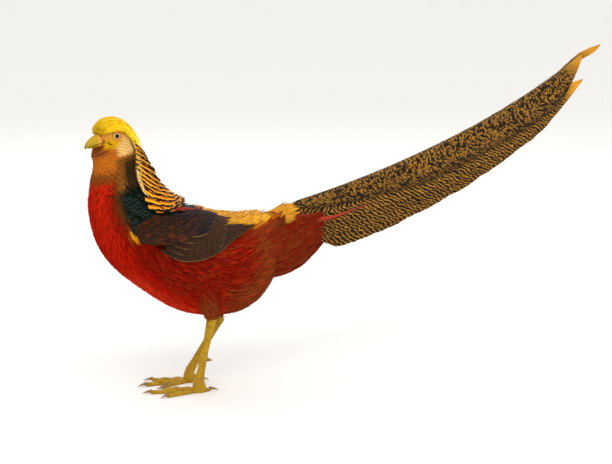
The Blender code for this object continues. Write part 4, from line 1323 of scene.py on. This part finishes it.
class PHEASANT_OT_wings(bpy.types.Operator):
    """Folded wings: coverts in rows, dark blue inner flight feathers and tan-edged outer ones"""

    bl_idname = "pheasant.wings"
    bl_label = "Wings"
    bl_options = {"REGISTER", "UNDO"}

    def execute(self, context):
        covert_look = feather_look("wing_coverts", mottled_pattern, roughness=0.65, gloss=0.06)
        flight_look = feather_look("flight_feathers", flight_pattern, roughness=0.6, gloss=0.08,
                                   fray=0.22)
        for side_name, side in SIDES:
            self.coverts(side_name, side, covert_look)
            self.flight(side_name, side, flight_look)
            self.scapulars(side_name, side)
        return {"FINISHED"}

    def coverts(self, side_name, side, look):
        """Small rounded feathers from the wing's front edge back, larger row by row."""
        found = []
        for row in range(17):
            u = -0.012 + 0.0225 * row
            count = 9 + row % 2
            v = np.linspace(-0.96, 0.96, count)
            reach = np.interp(row, [0, 8, 16], [0.065, 0.10, 0.175])
            width = np.interp(row, [0, 16], [0.34, 0.30])
            shown = v > np.interp(row, [6, 16], [-1.0, 0.1])
            piece = np.stack([np.full(count, u), v, np.full(count, reach), np.full(count, width)], -1)
            found.append(piece[shown])
        u, v, reach, width = np.vstack(found).T
        count = len(u)
        u = u + DRAW.normal(0, 0.003, count)
        t = np.linspace(0, 1, 7)
        x = np.clip(u[:, None] + reach[:, None] * t, 0, 1)
        y = v[:, None] + 0 * t
        half = width[:, None] / 2 * blade(t, 0.55)
        lift = np.interp(t, [0, 0.15, 1], [-0.001, 0.0006, 0.0032]) + DRAW.uniform(
            -2e-4, 2e-4, (count, 1))
        red = (DRAW.random(count) < 0.25)[:, None]
        tint = np.where(red, tone("wing_red"), tone("wing"))
        blue = smooth(v, 0.25, 0.8) * smooth(u, 0.05, 0.2)
        tint = tint + (tone("wing_blue") - tint) * (0.8 * blue)[:, None]
        lay(f"wing_coverts_{side_name}", on_wing(side), x, y, half, lift, look,
            tint, reach * WING_LENGTH, width * LANE_METRES, strip_patch(count), columns=MIDDLING,
            camber=0.0005, cant=0.0004)

    def flight(self, side_name, side, look):
        """Outer flight feathers low and long, inner ones over them, and broad blue ones on top."""
        found = []
        for k in range(7):
            found.append((0.46, 1.0 - 0.018 * k, -0.86 + 0.13 * k, 0.34, 0.0002, 0.0))
        for k in range(9):
            found.append((0.31, 0.66 + 0.024 * k, -0.84 + 0.21 * k, 0.42, 0.0008, 0.0))
        for k in range(5):
            found.append((0.24, 0.56 + 0.035 * k, 0.05 + 0.20 * k, 0.46, 0.0014, 1.0))
        root, end, v, width, base, blue = np.array(found).T
        count = len(root)
        t = np.linspace(0, 1, 14)
        x = root[:, None] + (end - root)[:, None] * t
        y = v[:, None] + 0 * t
        half = width[:, None] / 2 * blade(t, 0.72)
        lift = base[:, None] + 0.0020 * t
        tint = tone("wing") * 0.8 + (tone("wing_blue") - tone("wing") * 0.8) * blue[:, None]
        lay(f"flight_feathers_{side_name}", on_wing(side), x, y, half, lift, look,
            tint, (end - root) * WING_LENGTH, width * LANE_METRES,
            strip_patch(count), columns=WIDE, camber=0.0006, cant=0.0005, shaft=0.0002,
            replaced=(f"wing_{side_name}",))

    def scapulars(self, side_name, side):
        """Thin red-edged feathers in a line along the upper edge of the wing."""
        look = feather_look("scapulars", roughness=0.55, fray=0.3)
        count = 40
        s = np.linspace(0.690, 0.480, count)
        around = np.radians(np.interp(s, *SCAPULAR_LINE))
        around = around + DRAW.normal(0, 0.015, count)
        around = around if side > 0 else math.pi - around
        length = np.full(count, 0.013)
        width = np.full(count, 0.0022)
        drift = np.full(count, math.radians(24 * side))
        t = np.linspace(0, 1, 7)
        x, y, half = grow(above_body, s, around, length, width, drift, t, 0.5)
        lift = np.interp(t, [0, 0.2, 1], [0.001, 0.0040, 0.0040]) * np.ones((count, 1))
        tint = tone("spike") * DRAW.uniform(0.4, 0.9, (count, 1))
        lay(f"scapulars_{side_name}", above_body, x, y, half, lift, look, tint,
            length, width, strip_patch(count), camber=0.0004)


class PHEASANT_OT_tail(bpy.types.Operator):
    """The long vaulted tail: seven pairs of feathers and the coverts of its root"""

    bl_idname = "pheasant.tail"
    bl_label = "Tail"
    bl_options = {"REGISTER", "UNDO"}

    def execute(self, context):
        spots = feather_look("tail_spots", spotted_pattern, roughness=0.6, gloss=0.06, fray=0.3,
                             barbs=420.0, root=0.1)
        bars = feather_look("tail_bars", barred_pattern, roughness=0.6, gloss=0.06, fray=0.3,
                            barbs=300.0, root=0.1)
        self.pairs("tail_middle_feathers", RECTRICES[:1], 0, spots, ("tail",))
        self.pairs("tail_side_feathers", RECTRICES[1:], 1, bars)
        rusty = feather_look("rusty_coverts", roughness=0.7, gloss=0.04, fray=0.34, barbs=8.0)
        self.root_coverts("tail_coverts_low", rusty, "red_plumage", (0.040, 0.070), (-0.034, -0.006),
                          ("rust", "scarlet_dark"), 420, 0.0030)
        self.root_coverts("tail_coverts_barred", bars, "tail_plumage", (0.0, 0.056), (-0.064, 0.012),
                          ("tail_dark", "tail_dark"), 480, 0.0066)
        self.spikes()
        return {"FINISHED"}

    def pairs(self, name, feathers, first_row, look, replaced=()):
        """Tail feathers, a left and a right one for each row of the table."""
        t = np.linspace(0, 1, 44)
        found = []
        for row, (share, middle, width) in enumerate(feathers, first_row):
            for side in (1, -1):
                length = TAIL_LENGTH * (share - LEFT_SHORTER * (row == 0 and side > 0))
                lift = -RECTRIX_STEP * (row + (row > 0 or side < 0))
                found.append((length, side * middle, width, lift, side))
        length, middle, width, lift, side = np.array(found).T
        x = length[:, None] * t
        wide = spread(x, 0.3)
        y = middle[:, None] * wide
        if first_row == 0:
            meet = smooth(t, 0.84, 1.0)
            inwards = 1 - np.where(side < 0, 1.45, 0.78)[:, None] * meet
            y = y * np.interp(t, [0, 0.4], [0.35, 1]) * inwards
        half = 0.5 * width[:, None] * blade(t, 0.72, 1.0) * wide
        half = half * (1 + 0.02 * DRAW.normal(0, 1, half.shape))
        half = half * np.where(side > 0, 1, -1)[:, None] * -1
        lift = lift[:, None] - sunk(x) + 0.006 * smooth(x, 0.54, 0.64)
        # On the middle feathers this dark tint is the painted shadow along the vane's lower edge.
        dark = tone("tail_dark") * 1.6
        tint = np.broadcast_to(dark, (len(length), len(t), 3)).copy()
        if first_row == 0:
            end = smooth(t, 0.90, 0.99)[None, :, None]
            tint = tint + (tone("tail_gold") - tint) * end
        lay(name, on_tail, x, y, half, lift, look, tint, length, width,
            strip_patch(len(length)), columns=WIDE, camber=0.0004, shaft=0.0003,
            replaced=replaced)

    def spikes(self):
        """Narrow red coverts with darker tips along the sides of the tail's root."""
        look = feather_look("red_coverts", roughness=0.5, fray=0.3, barbs=60.0)
        count = 10
        side = np.where(np.arange(count) % 2, 1.0, -1.0)
        down = np.repeat([0.026, 0.031, 0.036, 0.039, 0.045], 2)
        length = np.repeat([0.060, 0.078, 0.155, 0.100, 0.065], 2)
        length = length * DRAW.uniform(0.9, 1.04, count)
        t = np.linspace(0, 1, 14)
        x = length[:, None] * t
        y = (side * down)[:, None] * spread(x, 0.35)
        half = 0.0018 * blade(t, 0.25, 0.9) * np.ones((count, 1))
        lift = np.where(side < 0, -0.0010, 0.0002)[:, None] - sunk(x)
        lift = lift + DRAW.uniform(0, 6e-4, (count, 1))
        fade = smooth(t, 0.45, 0.85)[None, :, None] * 0.6
        tint = np.broadcast_to(tone("spike") + (tone("tail_dark") * 3 - tone("spike")) * fade,
                               (count, len(t), 3))
        lay("tail_coverts_red", on_tail, x, y, half, lift, look, tint, length,
            np.full(count, 0.0036), strip_patch(count), columns=MIDDLING, camber=0.0005,
            shaft=0.0002)

    def root_coverts(self, name, look, slot, downs, starts, colours, count, width):
        """Short feathers that close the sides of the tail's root."""
        side = np.where(np.arange(count) % 2, 1.0, -1.0)
        down = DRAW.uniform(*downs, count)
        start = DRAW.uniform(*starts, count)
        length = DRAW.uniform(0.022, 0.036, count)
        t = np.linspace(0, 1, 7)
        x = start[:, None] + length[:, None] * t
        y = (side * down)[:, None] * spread(x, 0.35)
        half = 0.5 * width * blade(t, 0.4, 0.8) * np.ones((count, 1))
        lift = 0.0024 - sunk(x, 1.3) + DRAW.uniform(0, 0.0012, (count, 1))
        tint = mix(*colours, DRAW.random((count, 1)))
        lay(name, on_tail, x, y, half, lift, look, tint, length, np.full(count, width),
            strip_patch(count), camber=0.0004)


class PHEASANT_OT_thighs(bpy.types.Operator):
    """Rusty feathers of the thighs, down to the hock"""

    bl_idname = "pheasant.thighs"
    bl_label = "Thighs"
    bl_options = {"REGISTER", "UNDO"}

    def execute(self, context):
        look = feather_look("thigh_silk", roughness=0.8, gloss=0.02, fray=0.36, barbs=8.0)
        for side_name, side in SIDES:
            surface = on_thigh(side_name, side)
            x, y = scatter(surface, (0.10, 1.0), (0, 2 * math.pi), lambda x, y: 1.6e5 + 0 * x)
            count = len(x)
            length = np.interp(x, [0.1, 0.5, 1], [0.008, 0.013, 0.017])
            length = length * DRAW.uniform(0.8, 1.15, count)
            width = np.interp(x, [0.1, 1], [0.0022, 0.0042]) * np.ones(count)
            t = np.linspace(0, 1, 5)
            drift = DRAW.normal(0, 0.10, count)
            a, b, half = grow(surface, x, y, length, width, drift, t, 0.5, 0.6)
            lift = -0.0024 * (1 - t) + 0.0006 * t * DRAW.random((count, 1))
            share = smooth(x + DRAW.normal(0, 0.08, count), 0.25, 0.9)[:, None]
            tint = mix("rust", "scarlet_dark", share)
            corner = np.stack([y / (2 * math.pi) * 0.99, x * 0.99], -1)
            lay(f"thigh_coat_{side_name}", surface, a, b, half, lift, look, tint,
                length, width, (corner, TUFT_PATCH), camber=0.0002)
        return {"FINISHED"}


class PHEASANT_OT_eyes(bpy.types.Operator):
    """Eyes with a black pupil in a pale iris, and the bare lids round them"""

    bl_idname = "pheasant.eyes"
    bl_label = "Eyes and lids"
    bl_options = {"REGISTER", "UNDO"}

    def execute(self, context):
        for side_name, side in SIDES:
            around = EYE_ROUND if side > 0 else math.pi - EYE_ROUND
            middle = above_body(EYE_S, around, -EYE_SINK) + OFFSET
            axis = body_sides(np.array(EYE_S), np.array(around))[1]
            self.ball(side_name, middle, axis)
            self.lid(side_name, above_body(EYE_S, around, 0.0) + OFFSET, Vector(axis))
        return {"FINISHED"}

    def ball(self, side_name, middle, axis):
        """An eyeball with its iris and pupil painted round the axis."""
        made = bmesh.new()
        bmesh.ops.create_uvsphere(made, u_segments=40, v_segments=28, radius=EYE_RADIUS)
        turn = Vector(axis).to_track_quat("Z", "Y").to_matrix().to_4x4()
        bmesh.ops.transform(made, matrix=Matrix.Translation(middle) @ turn, verts=made.verts)
        data = mesh_of(f"eyeball_{side_name}", made)
        graph = Graph(f"eye_{side_name}", roughness=0.12, specular_ior_level=0.22)
        where = graph.here()
        offset = graph.vector("SUBTRACT", where, tuple(middle))
        facing = graph.vector("DOT_PRODUCT", offset, tuple(axis / EYE_RADIUS), output=1)
        streak = graph.noise(where, 2600.0, 3.0)
        facing = graph.scaled(graph.less(streak, 0.5), 0.012, facing)
        iris = graph.blend(graph.step(facing, *IRIS_EDGE), tone("ink"), tone("iris"))
        ring_tone = graph.scaled(streak, 0.5, 0.7)
        iris = graph.shaded(iris, ring_tone)
        graph.paint(graph.blend(graph.step(facing, *PUPIL), iris, (0.003, 0.003, 0.003)))
        finished(f"eyeball_{side_name}", data, graph.made, (f"eye_{side_name}",))

    def lid(self, side_name, middle, axis):
        """A ring of bare skin spun from a small circle, a little taller than wide."""
        made = bmesh.new()
        found = bmesh.ops.create_circle(made, segments=LID_SIDES, radius=LID_THICKNESS)["verts"]
        upright = Matrix.Translation((LID_RADIUS, 0, 0)) @ Matrix.Rotation(math.pi / 2, 4, "X")
        bmesh.ops.transform(made, matrix=upright, verts=found)
        bmesh.ops.spin(made, geom=made.verts[:] + made.edges[:], cent=(0, 0, 0), axis=(0, 0, 1),
                       angle=2 * math.pi, steps=LID_STEPS, use_merge=True)
        for point in made.verts:
            wrinkle = 1 + 0.035 * math.sin(LID_WRINKLES * math.atan2(point.co.y, point.co.x))
            point.co.z = point.co.z * wrinkle * 0.8
        bmesh.ops.recalc_face_normals(made, faces=made.faces)
        turn = axis.to_track_quat("Z", "Y").to_matrix().to_4x4()
        bmesh.ops.transform(made, matrix=Matrix.Translation(middle) @ turn, verts=made.verts)
        data = mesh_of(f"lid_{side_name}", made)
        graph = Graph("lid_skin_" + side_name, roughness=0.55, subsurface_weight=0.15)
        pores = graph.noise(graph.here(), 2200.0, 3.0)
        graph.bump(pores, 0.0003)
        skin = graph.blend(pores, tone("lid") * 0.7, tone("lid") * 1.1)
        finished(f"lid_{side_name}", data, graph.paint(skin))


def mouth_line(t):
    """Middle of the closed mouth, t of the upper bill's length ahead of the face."""
    base = (on_body(FACE_S, 0.0) + on_body(FACE_S, math.pi)) / 2
    level = math.cos(SPINE[-1, 7])
    heading = Vector(
        (math.cos(HEAD_TURN) * level, math.sin(HEAD_TURN) * level, math.sin(SPINE[-1, 7]))
    )
    point = Vector(base) + heading * (0.0004 + BILL_LENGTH * t)
    point.z -= MOUTH_DROP + BILL_SAG * max(t, 0) ** 2.2
    return point, heading


class PHEASANT_OT_bill(bpy.types.Operator):
    """Hooked bill with its mouth line and nostrils"""

    bl_idname = "pheasant.bill"
    bl_label = "Bill"
    bl_options = {"REGISTER", "UNDO"}

    def execute(self, context):
        upper, lower = [], []
        for t in np.linspace(0, 1, BILL_RINGS):
            middle, heading = mouth_line(t)
            size = math.sqrt(1 - BILL_TAPER * t**1.7)
            wide, rise = BILL_HALF_WIDTH * size, BILL_RISE * size
            upper.append(ring(middle, heading, wide, rise, BILL_SIDES, 0.0005))
            t *= LOWER_BILL_SHARE
            middle, heading = mouth_line(t)
            middle.z -= 0.0012
            wide = BILL_HALF_WIDTH * math.sqrt(1 - BILL_TAPER * t**1.7) * 0.9
            lower.append(ring(middle, heading, wide, 0.0003, BILL_SIDES, BILL_DROP * size))
        upper = self.nostrils(np.array(upper))
        graph = Graph("bill_horn", roughness=0.42, specular_ior_level=0.2)
        where = graph.here()
        long_grain = graph.add("ShaderNodeMapping", {"Vector": where, "Scale": (300, 1400, 1400)})
        grain = graph.noise(long_grain, 1.0, 3.0)
        cloud = graph.noise(where, 260.0, 2.0)
        tip = graph.step(graph.parts(where)[2], float(OFFSET[2] + 0.2840), float(OFFSET[2] + 0.2900))
        colour = graph.blend(tip, tone("horn") * 0.62, tone("horn"))
        colour = graph.blend(graph.times(cloud, 0.4), colour, tone("lore") * 0.5)
        base, heading = mouth_line(0)
        ahead = graph.vector("DOT_PRODUCT", where, tuple(heading), output=1)
        ahead = graph.less(ahead, float(np.dot(np.array(base) + OFFSET, heading)))
        skin = graph.step(graph.scaled(cloud, 0.006, ahead), 0.0110, 0.0030)
        colour = graph.blend(skin, colour, tone("cere"))
        graph.bump(grain, 0.0002, 0.5)
        look = graph.paint(colour)
        tubes("bill_top", [upper], look, ("bill_upper",))
        tubes("bill_under", [lower], look, ("bill_lower",))
        return {"FINISHED"}

    def nostrils(self, rings):
        """Presses a slit with a raised rim into each side of the upper bill."""
        for side in (1, -1):
            middle, heading = mouth_line(0.22)
            across = np.array(Vector((-heading.y, heading.x, 0)).normalized()) * side
            place = rings - np.array(middle)
            along = place @ np.array(heading)
            up = place[..., 2] - 0.0042
            reach = np.hypot(along / 0.0024, up / 0.0011)
            outside = (place @ across) > 0.0015
            press = 0.0011 * smooth(reach, 1.0, 0.45) - 0.0003 * smooth(reach, 1.7, 1.2)
            rings = rings - across * (press * outside)[..., None]
        return rings


def leg_look():
    """Scaly skin of the legs: scutes from the mesh, small scales between, brown in clouds."""
    graph = Graph("leg_skin", roughness=0.5, specular_ior_level=0.2)
    where = graph.here()
    cells = graph.add("ShaderNodeTexVoronoi", {"Vector": where, "Scale": 620.0},
                      feature="DISTANCE_TO_EDGE")
    seam = graph.step(cells, 0.0, 0.12)
    cloud = graph.noise(where, 150.0, 3.0)
    brown = graph.times(graph.step(cloud, 0.40, 0.75), 0.7)
    colour = graph.blend(brown, tone("leg"), tone("leg_brown"))
    colour = graph.blend(graph.scaled(seam, -0.45, 0.45), colour, tone("leg_brown") * 0.35)
    graph.bump(seam, 0.00025, 0.7)
    return graph.paint(colour)


class PHEASANT_OT_legs(bpy.types.Operator):
    """Shanks, feet, claws and spurs"""

    bl_idname = "pheasant.legs"
    bl_label = "Legs"
    bl_options = {"REGISTER", "UNDO"}

    def execute(self, context):
        skin = leg_look()
        graph = Graph("claw_horn", roughness=0.4)
        grain = graph.noise(graph.here(), 900.0, 3.0)
        graph.bump(grain, 0.0002, 0.6)
        horn = graph.paint(graph.blend(grain, tone("claw") * 0.65, tone("claw") * 1.15))
        for side_name, side in SIDES:
            self.shank(side_name, side, skin, horn)
            self.foot(side_name, side, skin, horn)
        return {"FINISHED"}

    def shank(self, side_name, side, skin, horn):
        """A shank with two rows of broad scutes down its front, and its spur."""
        _, ankle, _, _, lean, fold = leg_points(side_name, side)
        table = np.array(SHANK_SECTIONS)
        angle = 2 * math.pi * np.arange(SHANK_SIDES) / SHANK_SIDES
        front = smooth(np.sin(angle), -0.1, 0.5)
        rings = []
        for t in np.linspace(0, 1, SHANK_RINGS):
            wide, deep = (float(np.interp(t, table[:, 0], table[:, k])) for k in (1, 2))
            middle = ankle + lean * (0.0004 + SHANK_LENGTH * t)
            points = ring(middle, lean if t < 1 else fold, wide, deep, SHANK_SIDES)
            row = t * SHANK_LENGTH / SHANK_SCUTE + 0.5 * (np.cos(angle) > 0)
            scute = front * (0.5 - np.abs((row % 1) - 0.5)) ** 0.5 * 0.00075
            points = points + (points - np.array(middle)) * ((scute - 0.0003) / wide)[:, None]
            rings.append(points)
        tubes(f"shank_skin_{side_name}", [rings], skin, (f"shank_{side_name}",))
        behind = Vector((-lean.z, 0, lean.x)).normalized()
        girth = float(np.interp(SPUR_SHARE, table[:, 0], table[:, 2]))
        base = ankle + lean * SHANK_LENGTH * SPUR_SHARE + behind * (girth - 0.0006)
        spur = []
        for t in np.linspace(0, 1, HORN_RINGS):
            size = SPUR_RADIUS * (1 - 0.8 * t**1.3) * (1 + 0.03 * math.sin(t * 40))
            spur.append(ring(base + behind * (SPUR_LENGTH + 0.0010) * t, behind, size, size, 20))
        tubes(f"spur_horn_{side_name}", [spur], horn, (f"spur_{side_name}",))

    def foot(self, side_name, side, skin, horn):
        """The ball of the foot and four toes with scutes on top, and the claws."""
        foot, ankle, _, _, lean, _ = leg_points(side_name, side)
        sizes_up = ((0.0, 0.0078), (0.35, 0.0084), (0.7, 0.0072), (1.0, 0.0058), (1.12, 0.0052))
        ball = []
        for t in np.linspace(0, 1.12, 24):
            size = float(np.interp(t, *zip(*sizes_up)))
            forward = Vector((0, 0, 1)).lerp(lean.normalized(), min(max(t, 0), 1))
            ball.append(ring(foot.lerp(ankle, t), forward, size * 0.88, size * 0.98, 28))
        forms = [ball]
        for toe, (bearing, length, radius) in TOES.items():
            angle = math.radians(FOOT_HEADING[side_name] - side * bearing)
            direction = Vector((math.cos(angle), math.sin(angle), 0))
            start = foot + direction * 0.0012
            forms.append(self.toe(start, direction, length, radius))
            claw = []
            tip = start + direction * (length - 0.0006)
            for t in np.linspace(0, 1, HORN_RINGS):
                size = CLAW_RADIUS * (1 - 0.88 * t)
                middle = tip + direction * CLAW_LENGTH * t
                middle.z = CLAW_HEIGHT * (1 - t * t) + CLAW_RADIUS * t * 0.4
                claw.append(ring(middle, direction, size, size * 1.15, 16))
            tubes(f"claw_horn_{toe}_{side_name}", [claw], horn,
                  (f"claw_{toe}_{side_name}",))
        for form in forms:
            for points in form:
                points[:, 2] = np.maximum(points[:, 2], 0.0)
        tubes(f"foot_skin_{side_name}", forms, skin, (f"foot_{side_name}",))

    def toe(self, start, direction, length, radius):
        """Rings of a toe: pads below, a scute every few millimetres above."""
        angle = 2 * math.pi * np.arange(TOE_SIDES) / TOE_SIDES
        above = smooth(np.sin(angle), 0.0, 0.5)
        rings = []
        for t in np.linspace(0, 1, max(24, round(length / 0.0007))):
            size = radius * (1 - 0.40 * t) * (1 + 0.10 * math.cos(t * 6 * math.pi))
            middle = start + direction * length * t + Vector((0, 0, size * 0.60))
            row = t * length / TOE_SCUTE
            scute = above * (0.5 - abs(row % 1 - 0.5)) ** 0.5 * 0.0006 - 0.0002
            points = ring(middle, direction, size, size * 0.80, TOE_SIDES)
            rings.append(points + (points - np.array(middle)) * (scute / size)[:, None])
        return rings


# The photograph's camera: turn from the bird's left, height, distance, pixels a metre where it
# stands, the feet's middle in the picture, and the picture's size.
CAMERA_TURN, CAMERA_HEIGHT, CAMERA_DISTANCE = math.radians(33), math.radians(9), 2.4
FLOOR_SIZE, SKY, LAMP_AIM = 12.0, (1.0, 0.99, 0.975, 1.0), (0.1, 0.0, 0.18)
# Lamps: name, place, size and power.
LAMPS = [
    ("key", (1.1, 1.5, 1.7), 1.4, 20),
    ("fill", (-1.4, 1.6, 1.0), 1.8, 7),
    ("rim", (-0.6, -1.6, 1.6), 1.6, 8),
]
PIXELS_A_METRE, FEET_PIXEL, PICTURE, SENSOR = 880.0, (192.0, 387.0), (612, 464), 36.0


class PHEASANT_OT_stage(bpy.types.Operator):
    """Pale floor, soft lights and the camera"""

    bl_idname = "pheasant.stage"
    bl_label = "Stage"
    bl_options = {"REGISTER", "UNDO"}

    def execute(self, context):
        self.floor()
        level = math.cos(CAMERA_HEIGHT)
        back = Vector((math.sin(CAMERA_TURN) * level, math.cos(CAMERA_TURN) * level,
                       math.sin(CAMERA_HEIGHT)))
        right = Vector((-math.cos(CAMERA_TURN), math.sin(CAMERA_TURN), 0))
        up = back.cross(right)
        aim = right * (PICTURE[0] / 2 - FEET_PIXEL[0]) / PIXELS_A_METRE
        aim += up * (FEET_PIXEL[1] - PICTURE[1] / 2) / PIXELS_A_METRE
        aim += Vector(OFFSET)
        camera = linked("camera", bpy.data.cameras.new("camera"))
        camera.data.sensor_width = SENSOR
        camera.data.lens = PIXELS_A_METRE * CAMERA_DISTANCE * SENSOR / PICTURE[0]
        turn = Matrix((right, up, back)).transposed().to_4x4()
        camera.matrix_world = Matrix.Translation(aim + back * CAMERA_DISTANCE) @ turn
        bpy.context.scene.camera = camera
        for lamp in LAMPS:
            self.lamp(*lamp)
        world = bpy.data.worlds.new("soft")
        world.use_nodes = True
        background = world.node_tree.nodes["Background"]
        background.inputs["Color"].default_value = SKY
        background.inputs["Strength"].default_value = 1.0
        bpy.context.scene.world = world
        bpy.context.scene.view_settings.view_transform = "Standard"
        return {"FINISHED"}

    def floor(self):
        """A wide pale floor under the feet."""
        made = bmesh.new()
        bmesh.ops.create_grid(made, x_segments=4, y_segments=4, size=FLOOR_SIZE)
        data = mesh_of("floor", made, smoothed=False)
        floor = linked("floor", data)
        graph = Graph("floor", roughness=0.8)
        speck = graph.noise(graph.here(), 90.0, 3.0)
        colour = graph.blend(speck, tone("floor") * 0.96, tone("floor"))
        data.materials.append(graph.paint(colour))

    def lamp(self, name, place, size, power):
        """A square soft light that faces the bird."""
        light = bpy.data.lights.new(name, "AREA")
        light.size = size
        light.energy = power
        lamp = linked(name, light)
        lamp.location = place
        aim = Vector(LAMP_AIM) - Vector(place)
        lamp.rotation_euler = aim.to_track_quat("-Z", "Y").to_euler()


OPERATORS = [
    PHEASANT_OT_skin,
    PHEASANT_OT_body_coat,
    PHEASANT_OT_face_coat,
    PHEASANT_OT_mantle,
    PHEASANT_OT_rump,
    PHEASANT_OT_cape,
    PHEASANT_OT_crest,
    PHEASANT_OT_wings,
    PHEASANT_OT_tail,
    PHEASANT_OT_thighs,
    PHEASANT_OT_eyes,
    PHEASANT_OT_bill,
    PHEASANT_OT_legs,
    PHEASANT_OT_stage,
]


class PHEASANT_PT_panel(bpy.types.Panel):
    """Lists the bird's pieces and its settings"""

    bl_idname = "PHEASANT_PT_panel"
    bl_label = "Golden Pheasant"
    bl_space_type = "VIEW_3D"
    bl_region_type = "UI"
    bl_category = "Pheasant"

    def draw(self, context):
        for piece in OPERATORS:
            self.layout.operator(piece.bl_idname)
        for key in PheasantSizes.__annotations__:
            self.layout.prop(context.scene.pheasant_sizes, key)
        for key in COLOURS:
            self.layout.prop(context.scene.pheasant_colours, key)


CLASSES = [PheasantColours, PheasantSizes, *OPERATORS, PHEASANT_PT_panel]


def register():
    for found in CLASSES:
        bpy.utils.register_class(found)
    bpy.types.Scene.pheasant_colours = PointerProperty(type=PheasantColours)
    bpy.types.Scene.pheasant_sizes = PointerProperty(type=PheasantSizes)


def unregister():
    del bpy.types.Scene.pheasant_colours
    del bpy.types.Scene.pheasant_sizes
    for found in reversed(CLASSES):
        bpy.utils.unregister_class(found)


def main():
    """Builds all the pieces and the stage in order."""
    register()
    for piece in OPERATORS:
        group, name = piece.bl_idname.split(".")
        getattr(getattr(bpy.ops, group), name)()


if __name__ == "__main__":
    main()
